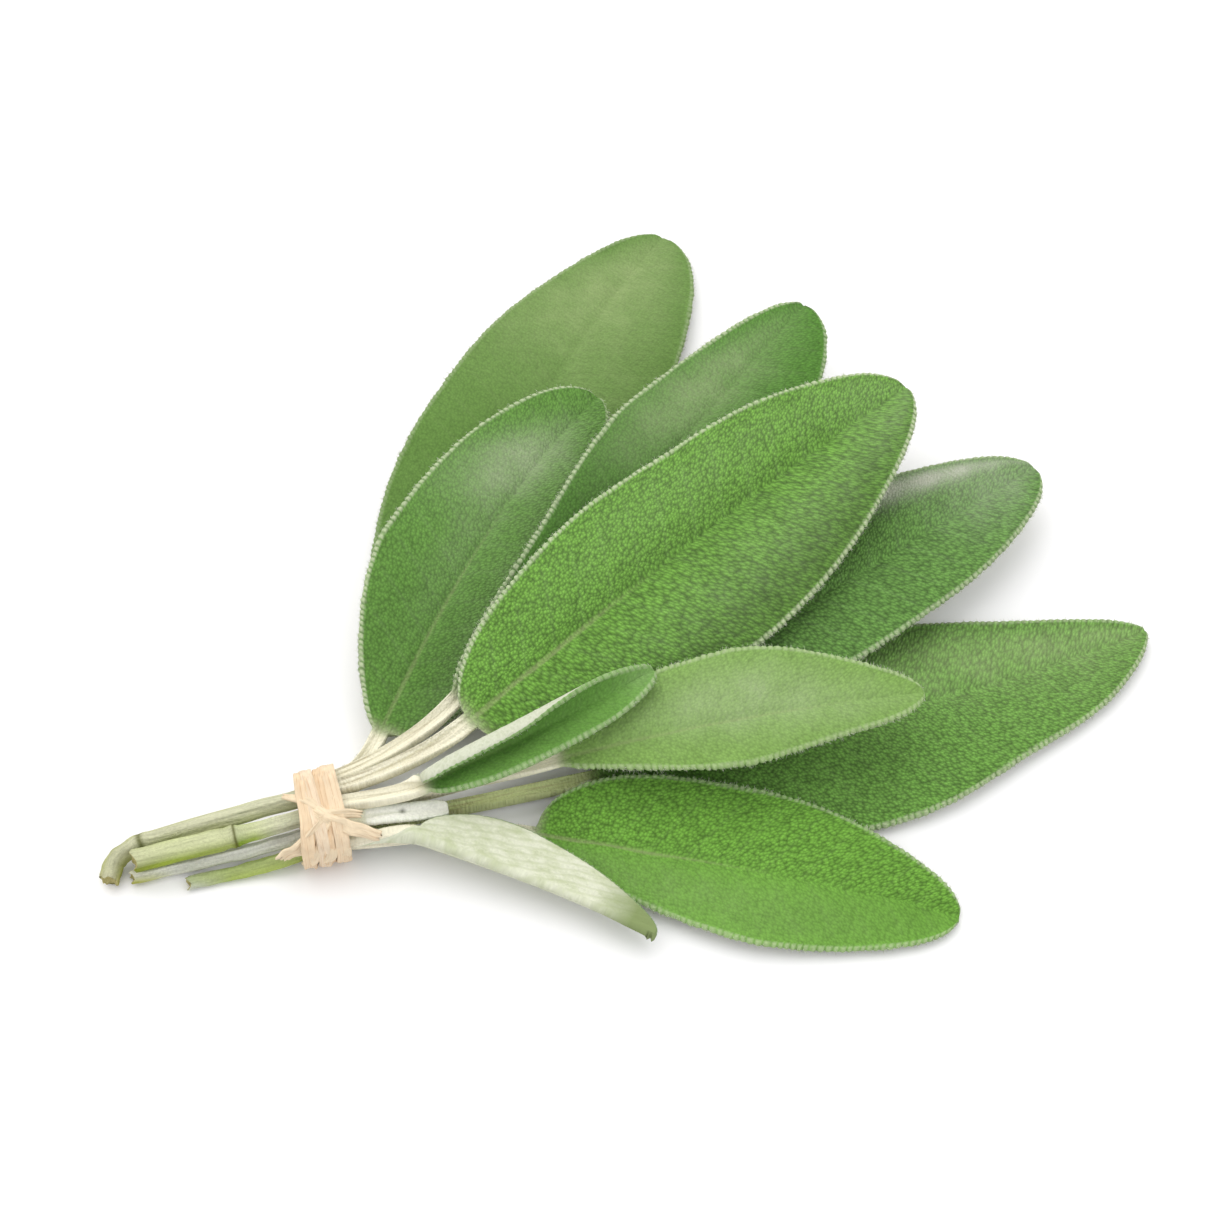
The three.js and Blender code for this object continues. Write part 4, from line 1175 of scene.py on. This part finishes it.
def build_stem(stem, seed):
    """One stem: a felted square tube with fine ridges, a node and a hollowed, rough cut end."""
    length = curve_length(smooth_line, stem["points"], CURVE_SAMPLES)
    t = np.linspace(0, 1, round(length / STEM_ROW_PITCH))
    centre, tangent = smooth_line(stem["points"], t)
    left = unit(np.cross(UP, tangent))
    normal = np.cross(tangent, left)
    angle = np.linspace(0, math.tau, STEM_SIDES, endpoint=False)
    near_node = (t - stem["node"]) * length
    swell = 1 + stem["swell"] * np.exp(-((near_node / length / NODE_SHARE) ** 2))
    half = (values_along(stem["half"], t) * swell)[:, None]
    groove = np.exp(-((near_node / NODE_GROOVE_WIDTH) ** 2)) * (stem["node"] > 0)
    x = in_rows(t * length, STEM_SIDES)
    y = np.repeat(angle[None], len(t), 0)
    ridges = STEM_RIDGE_HEIGHT * ripple(x * 0.12, y * half, 0.6, seed)
    uneven = STEM_UNEVENNESS * ripple(x * 0.35, np.cos(y), 1.0, seed + 1)
    corner = np.cos(4 * (angle - math.radians(stem["turn"])))
    radius = half * (1 + STEM_SQUARENESS * corner) + ridges + uneven
    radius = radius - NODE_GROOVE_DEPTH * groove[:, None]
    rough = CUT_ROUGHNESS * np.sin(3 * angle + 1) + 0.08 * ripple(angle, angle * 0, 0.5, seed + 2)
    forward = np.zeros(radius.shape)
    forward[0] = rough
    frames = (centre, left, normal, tangent)
    rings = tube_rings(frames, radius, angle, forward)
    first = [values[:1] for values in frames]
    hollow = [
        tube_rings(first, radius[:1] * size, angle, rough * size + depth)
        for size, depth in reversed(CUT_HOLLOW)
    ]
    rings = np.concatenate([*hollow, rings])
    rings[..., 2] = np.maximum(rings[..., 2], 0)
    slots = np.zeros((len(rings) - 1, STEM_SIDES), int)
    slots[:len(CUT_HOLLOW)] = 1
    mesh = ring_mesh(stem["name"], rings, slots)
    # How far each place faces up, which sets the painted light along the top.
    fields = dict(
        x=x, y=y * half, along=in_rows(t, STEM_SIDES), lit_top=np.sin(y), node=in_rows(groove, STEM_SIDES)
    )
    pad = ((len(CUT_HOLLOW), 0), (0, 0))
    fields = {name: np.pad(values, pad) for name, values in fields.items()}
    fields["cut"] = np.pad(np.zeros(x.shape), pad, constant_values=1)
    spread_marks(mesh, fields, STEM_MARKS)
    return mesh


def tube_rings(frames, radius, angle, forward):
    """Rings of points round a line, at a radius and moved forward by some mm at each angle. frames
    holds the line's points and its left, upward and forward directions."""
    centre, left, normal, tangent = (values[:, None] for values in frames)
    across = (radius * np.cos(angle))[..., None] * left
    above = (radius * np.sin(angle))[..., None] * normal
    ahead = np.broadcast_to(forward, radius.shape)[..., None] * tangent
    return centre + across + above + ahead


def stem_material(stem):
    """The felted skin of a stem: its own colours along it, painted light along its top, fine
    streaks and a darker node.
    """
    n = Nodes(f"{stem['name']}_skin", 0.75, sheen=0.02)
    along, lit_top, node = n.channels(n.attribute("marks", "Color"))[:3]
    place = n.place()
    fine = n.noise(place, 3.2, 3.0, 0.7)
    streak = n.noise(n.stretched(place, 0.2, 2.6), 1.0, 2.0)
    color = n.stops(along, stem["bands"])
    # Painted light along the top of the stem, which faces the light.
    color = n.mix(n.ramp(lit_top, 0.1, 0.95, 0.0, 0.75), color, surface(*stem["lit_top"]))
    color = n.mix(n.ramp(streak, 0.44, 0.7, 0.0, 0.7), color, n.shade(color, 0.7))
    color = n.mix(n.times(node, 0.85), color, NODE_COLOR)
    n.color(n.speckle(color, fine, 0.82, 1.12))
    n.bump(n.plus(fine, streak), STEM_BUMP, 0.9)
    return n.material


def cut_material():
    """The dried cut ends: a fibrous mix of brownish wood and paler pith."""
    n = Nodes("cut_end", 0.9)
    grain = n.noise(n.object_place(), 2200.0, 4.0, 0.7)
    n.color(n.mix(n.ramp(grain, 0.3, 0.7), CUT_WOOD, CUT_PITH))
    n.bump(grain, CUT_BUMP)
    return n.material


def make_stems():
    cut = cut_material()
    for seed, stem in enumerate(STEMS, STEM_SEED):
        mesh = build_stem(stem, seed)
        mesh.materials.append(stem_material(stem))
        mesh.materials.append(cut)
        add_piece(f"fine_{stem['name']}", mesh, stem["name"])


# ---------------------------------------------------------------- the raffia tie

BUNDLE_MIDDLE = np.array([0, -0.1, 4.25])
BUNDLE_HALF_WIDTH = 5.15
BUNDLE_HALF_HEIGHT = 3.55
BUNDLE_POWER = 3.0
RAFFIA_THICKNESS = 0.5
RAFFIA_SKIN = 0.3
# How deep the raffia's coarse and fine creases and its folds are, and how far its edges curl.
CREASE_DEPTHS = (0.05, 0.035)
FOLD_DEPTH = 0.1
EDGE_CURL = 0.08
# How far the torn ends of the strips run in and out, and how far the strips wave up and down.
TORN_LENGTH = 0.35
STRIP_WAVE = 0.12
RAFFIA_BUMP = 0.00018
STRIP_COLOR = (255, 234, 200)
RAFFIA_CREASE = surface(206, 156, 106)
RAFFIA_LIGHT = surface(255, 240, 216)

# The turns side by side along the bundle: their two edges, how far each leans, and its colour.
TURNS = [
    dict(start=-2.5, end=-0.9, lean=0.8, rise=0.0, color=(252, 226, 190)),
    dict(start=-1.3, end=0.2, lean=0.1, rise=0.12, color=(254, 232, 202)),
    dict(start=-0.2, end=1.3, lean=0.7, rise=0.0, color=(250, 220, 182)),
    dict(start=1.0, end=2.8, lean=0.3, rise=0.1, color=(254, 230, 196)),
]
# The strips that lie over the turns and run out from the knot: points, and widths along them.
STRIPS = [
    dict(points=[(2.0, -0.2, 8.05), (0.6, -2.5, 7.95), (-0.9, -4.6, 6.6)], widths=[1.3, 1.9, 1.5]),
    dict(points=[(-1.2, -1.0, 8.1), (0.3, -2.8, 8.1), (1.7, -4.4, 6.9)], widths=[1.3, 1.9, 1.5]),
    dict(points=[(0.5, -3.1, 8.0), (-1.4, -4.3, 7.4), (-3.4, -4.6, 5.5), (-5.5, -4.1, 3.5)],
         widths=[1.5, 1.7, 2.0, 2.1]),
    dict(points=[(0.0, -2.9, 8.1), (1.6, -3.8, 7.9), (3.2, -4.8, 7.5), (6.0, -6.2, 6.6)],
         widths=[1.5, 1.6, 1.7, 1.5]),
    dict(points=[(-0.4, -2.5, 8.2), (1.6, -2.7, 8.3), (3.2, -2.9, 8.0), (4.6, -3.1, 7.5)],
         widths=[1.2, 1.2, 1.1, 0.8]),
    dict(points=[(0.6, -2.3, 8.15), (-1.4, 0.2, 8.3), (-3.8, 2.3, 7.1)], widths=[1.2, 1.1, 0.9]),
    dict(points=[(0.1, -3.3, 7.8), (-1.4, -5.5, 5.2), (-2.6, -5.2, 2.6), (-3.0, -4.4, 1.4)],
         widths=[1.3, 1.3, 1.2, 0.9]),
    dict(points=[(0.4, -3.3, 7.8), (0.2, -5.7, 5.0), (-0.6, -5.5, 2.6), (-0.9, -4.9, 1.3)],
         widths=[1.3, 1.4, 1.3, 1.0]),
    dict(points=[(0.8, -3.5, 7.7), (1.8, -5.6, 5.0), (1.6, -5.5, 2.8), (1.2, -4.9, 1.4)],
         widths=[1.3, 1.4, 1.3, 1.1]),
]
TURN_SEED = 50
STRIP_SEED = 70
STRIP_SAMPLES = 40
TURN_COLUMNS = 14
TURN_ROWS = 220
STRIP_COLUMNS = 12
STRIP_ROW_PITCH = 0.12


def round_bundle(angle, x, clearance):
    """Points round the bundle: angle 0 is towards +Y, a quarter turn is up."""
    def shape(value):
        return np.sign(value) * np.abs(value) ** (2 / BUNDLE_POWER)
    y = (BUNDLE_HALF_WIDTH + clearance) * shape(np.cos(angle))
    z = (BUNDLE_HALF_HEIGHT + clearance) * shape(np.sin(angle))
    return BUNDLE_MIDDLE + np.stack([x + 0 * y, y, z], -1)


def ribbon_relief(x, y, half, seed):
    """The lengthwise creases of a raffia ribbon, in mm, and the curl of its two edges."""
    coarse, fine = CREASE_DEPTHS
    creases = coarse * ripple(x * 0.05, y, 0.45, seed) + fine * ripple(x * 0.12, y, 0.22, seed + 1)
    fold = FOLD_DEPTH * ripple(x * 0.25, y, 1.6, seed + 2)
    return creases + fold - EDGE_CURL * smoothstep(np.abs(y) / half, 0.7, 1.0)


def both_sides(outer, inner):
    """Rings of values that run across the outer side of a ribbon and back across its inner side."""
    return np.concatenate([outer, inner[:, ::-1]], 1)


def closed_ribbon(turn, seed):
    """The rings of one turn of raffia round the bundle, and how far along and across they lie."""
    angle = in_rows(np.linspace(0, math.tau, TURN_ROWS), TURN_COLUMNS)
    half = (turn["end"] - turn["start"]) / 2
    middle = (turn["end"] + turn["start"]) / 2
    around = angle * BUNDLE_HALF_WIDTH
    y = half * np.linspace(-1, 1, TURN_COLUMNS)[None] + 0 * angle
    meet = np.cos(angle / 2) ** 16
    ragged = 1 + 0.05 * np.sin(3 * angle + seed)
    x = middle + y * ragged + turn["lean"] * np.cos(angle)
    relief = ribbon_relief(around, y, half, seed) * (1 - meet)
    height = RAFFIA_THICKNESS + turn["rise"] + relief
    outer = round_bundle(angle, x, height)
    inner = round_bundle(angle, x, height - RAFFIA_SKIN)
    pairs = ((outer, inner), (around, around), (y, y))
    return [both_sides(*pair)[:-1] for pair in pairs]


def open_ribbon(strip, seed):
    """The rings of a strip with a torn end, its broad side facing away from the middle of the
    bundle, and how far along and across they lie."""
    length = curve_length(smooth_line, strip["points"], STRIP_SAMPLES)
    share = np.linspace(-1, 1, STRIP_COLUMNS)
    t = np.linspace(0, 1, round(length / STRIP_ROW_PITCH))
    torn = TORN_LENGTH / length * ripple(share * 1.5, share * 0, 0.8, seed + 5) - 0.2 / length
    x = length * t[:, None] * (1 + torn[None] * smoothstep(t, 0.5, 1)[:, None])
    centre, tangent = smooth_line(strip["points"], t)
    outward = centre - BUNDLE_MIDDLE
    outward[:, 0] = 0
    side = unit(np.cross(unit(outward), tangent))
    face = np.cross(tangent, side)[:, None]
    half = values_along(strip["widths"], t)[:, None] / 2
    y = half * share[None]
    relief = ribbon_relief(x, y, half, seed) + STRIP_WAVE * ripple(x, y * 0, 3.0, seed + 6)
    ahead = (x - (length * t)[:, None])[..., None] * tangent[:, None]
    base = centre[:, None] + y[..., None] * side[:, None] + ahead
    outer = base + (RAFFIA_SKIN / 2 + relief)[..., None] * face
    inner = base + (relief - RAFFIA_SKIN / 2)[..., None] * face
    return [both_sides(*pair) for pair in ((outer, inner), (x, x), (y, y))]


def raffia_material(name, color):
    """Dry raffia: fine fibres along it, darker in its creases and lighter on its ridges."""
    n = Nodes(name, 0.62)
    place = n.place()
    fibre = n.noise(n.stretched(place, 0.2, 6.0), 1.0, 4.0, 0.65)
    patch = n.noise(place, 0.5, 2.0)
    tint = n.mix(n.ramp(patch, 0.35, 0.65), surface(*color), n.shade(surface(*color), 0.86))
    painted_shade = n.mix(n.ramp(fibre, 0.54, 0.72, 0.0, 0.75), tint, RAFFIA_CREASE)
    n.color(n.mix(n.ramp(fibre, 0.42, 0.25, 0.0, 0.6), painted_shade, RAFFIA_LIGHT))
    n.bump(fibre, RAFFIA_BUMP, 0.9)
    return n.material


def add_ribbon(mesh, x, y, material):
    spread_place(mesh, x, y)
    mesh.materials.append(material)
    add_piece(f"fine_{mesh.name}", mesh, "tie")


def make_tie():
    """The turns and strips of raffia, which take the tie's place together."""
    for index, turn in enumerate(TURNS):
        rings, x, y = closed_ribbon(turn, TURN_SEED + 3 * index)
        material = raffia_material(f"raffia_{index}", turn["color"])
        add_ribbon(loop_mesh(f"turn_{index}", rings), x.reshape(-1), y.reshape(-1), material)
    material = raffia_material("raffia_strip", STRIP_COLOR)
    for index, strip in enumerate(STRIPS):
        rings, x, y = open_ribbon(strip, STRIP_SEED + 7 * index)
        add_ribbon(ring_mesh(f"strip_{index}", rings), with_ends(x), with_ends(y), material)


# ---------------------------------------------------------------- putting it together


def make_leaves():
    under = under_material()
    folded = folded_material()
    hair = hair_material()
    for seed, values in enumerate(LEAVES, LEAF_SEED):
        leaf = Leaf(values, seed)
        mesh, hairs = build_leaf(leaf)
        mesh.materials.append(upper_material(leaf))
        mesh.materials.append(folded if leaf.name == "leaf_folded" else under)
        hairs.materials.append(hair)
        add_piece(f"fine_{leaf.name}", mesh, leaf.name)
        add_piece(hairs.name, hairs, None)


def add_piece(name, mesh, node):
    piece = bpy.data.objects.new(name, mesh)
    bpy.context.collection.objects.link(piece)
    if node is not None:
        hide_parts(node)
    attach(piece, "root")
    return piece


make_camera()
make_light()
make_floor()
make_leaves()
make_stems()
make_tie()
bpy.context.scene.view_settings.view_transform = "Standard"
